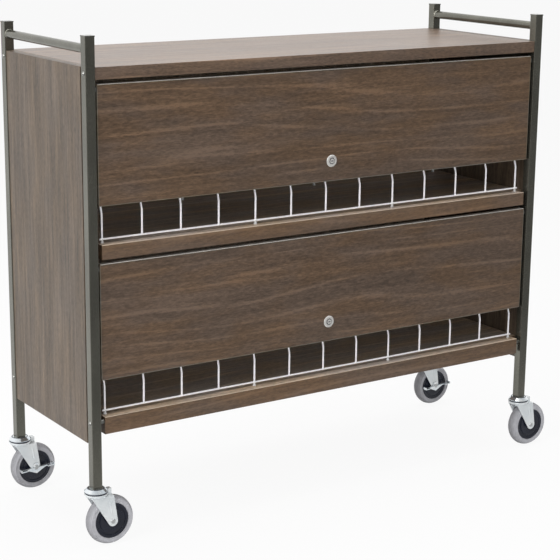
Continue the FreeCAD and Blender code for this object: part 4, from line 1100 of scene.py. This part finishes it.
def add_lamp(name, place, side, power, mirrored):
    """Makes a square soft lamp at a place, turned to the aim."""
    data = bpy.data.lights.new(name, "AREA")
    data.size = side
    data.energy = power
    lamp = bpy.data.objects.new(name, data)
    lamp.location = place
    lamp.rotation_euler = (AIM - Vector(place)).to_track_quat("-Z", "Y").to_euler()
    lamp.visible_glossy = mirrored
    bpy.context.scene.collection.objects.link(lamp)


def make_surround(scene, strength):
    """Even light all round; it is white where it is seen, and darker towards the front in gloss."""
    surround = Finish("surround", "worlds")
    seen = surround.node("ShaderNodeLightPath").outputs
    gloss = surround.spread(surround.parts(surround.direction)["Y"], *SURROUND_MIRRORED)
    plain = surround.blend(seen["Is Glossy Ray"], strength, gloss, "FLOAT")
    clear = surround.reckon("MAXIMUM", seen["Is Camera Ray"], seen["Is Transmission Ray"])
    light = surround.node("ShaderNodeBackground")
    surround.feed(light.inputs["Strength"], surround.blend(clear, plain, 1, "FLOAT"))
    surround.feed(light.inputs["Color"], opaque((1, 1, 1)))
    scene.world = surround.close(light, "ShaderNodeOutputWorld")


FAR_CLIP = 200


def stand_camera(scene, stage):
    """Camera at its place: heading about Z, then tilt, then roll about its own axis."""
    data = bpy.data.cameras.new("camera")
    data.lens = stage.lens
    data.clip_end = FAR_CLIP
    camera = bpy.data.objects.new("camera", data)
    scene.collection.objects.link(camera)
    camera.matrix_world = (
        Matrix.Translation(stage.camera_place)
        @ Matrix.Rotation(-stage.heading, 4, "Z")
        @ Matrix.Rotation(TAU / 4 - stage.tilt, 4, "X")
        @ Matrix.Rotation(stage.roll, 4, "Z")
    )
    scene.camera = camera


class CHARTRACK_PT_panel(bpy.types.Panel):
    """The rack's steps and settings"""
    bl_idname = "CHARTRACK_PT_panel"
    bl_label = "Chart rack"
    bl_space_type = "VIEW_3D"
    bl_region_type = "UI"
    bl_category = "Chart rack"

    def draw(self, context):
        layout = self.layout
        for operator in OPERATORS:
            layout.operator(operator.bl_idname)
        scene = context.scene
        for group in (scene.chart_rack_colours, scene.chart_rack_sizes, scene.chart_rack_stage):
            box = layout.box()
            for name in group.__annotations__:
                box.prop(group, name)


GROUPS = {
    "chart_rack_colours": ChartRackColours,
    "chart_rack_sizes": ChartRackSizes,
    "chart_rack_stage": ChartRackStage,
}
OPERATORS = (
    CHARTRACK_OT_finishes,
    CHARTRACK_OT_door_bands,
    CHARTRACK_OT_board_bands,
    CHARTRACK_OT_handle_welds,
    CHARTRACK_OT_wire_welds,
    CHARTRACK_OT_locks,
    CHARTRACK_OT_race_gap_shades,
    CHARTRACK_OT_tyres,
    CHARTRACK_OT_hubs,
    CHARTRACK_OT_fork_ribs,
    CHARTRACK_OT_stage,
)


def register():
    """Registers the settings, the operators and the panel."""
    for name, group in GROUPS.items():
        bpy.utils.register_class(group)
        setattr(bpy.types.Scene, name, bpy.props.PointerProperty(type=group))
    for operator in OPERATORS:
        bpy.utils.register_class(operator)
    bpy.utils.register_class(CHARTRACK_PT_panel)


def unregister():
    """Takes out what register() put in."""
    bpy.utils.unregister_class(CHARTRACK_PT_panel)
    for operator in reversed(OPERATORS):
        bpy.utils.unregister_class(operator)
    for name, group in reversed(GROUPS.items()):
        delattr(bpy.types.Scene, name)
        bpy.utils.unregister_class(group)


def main():
    """Runs every operator."""
    register()
    for operator in OPERATORS:
        group, name = operator.bl_idname.split(".")
        getattr(getattr(bpy.ops, group), name)()


if __name__ == "__main__":
    main()
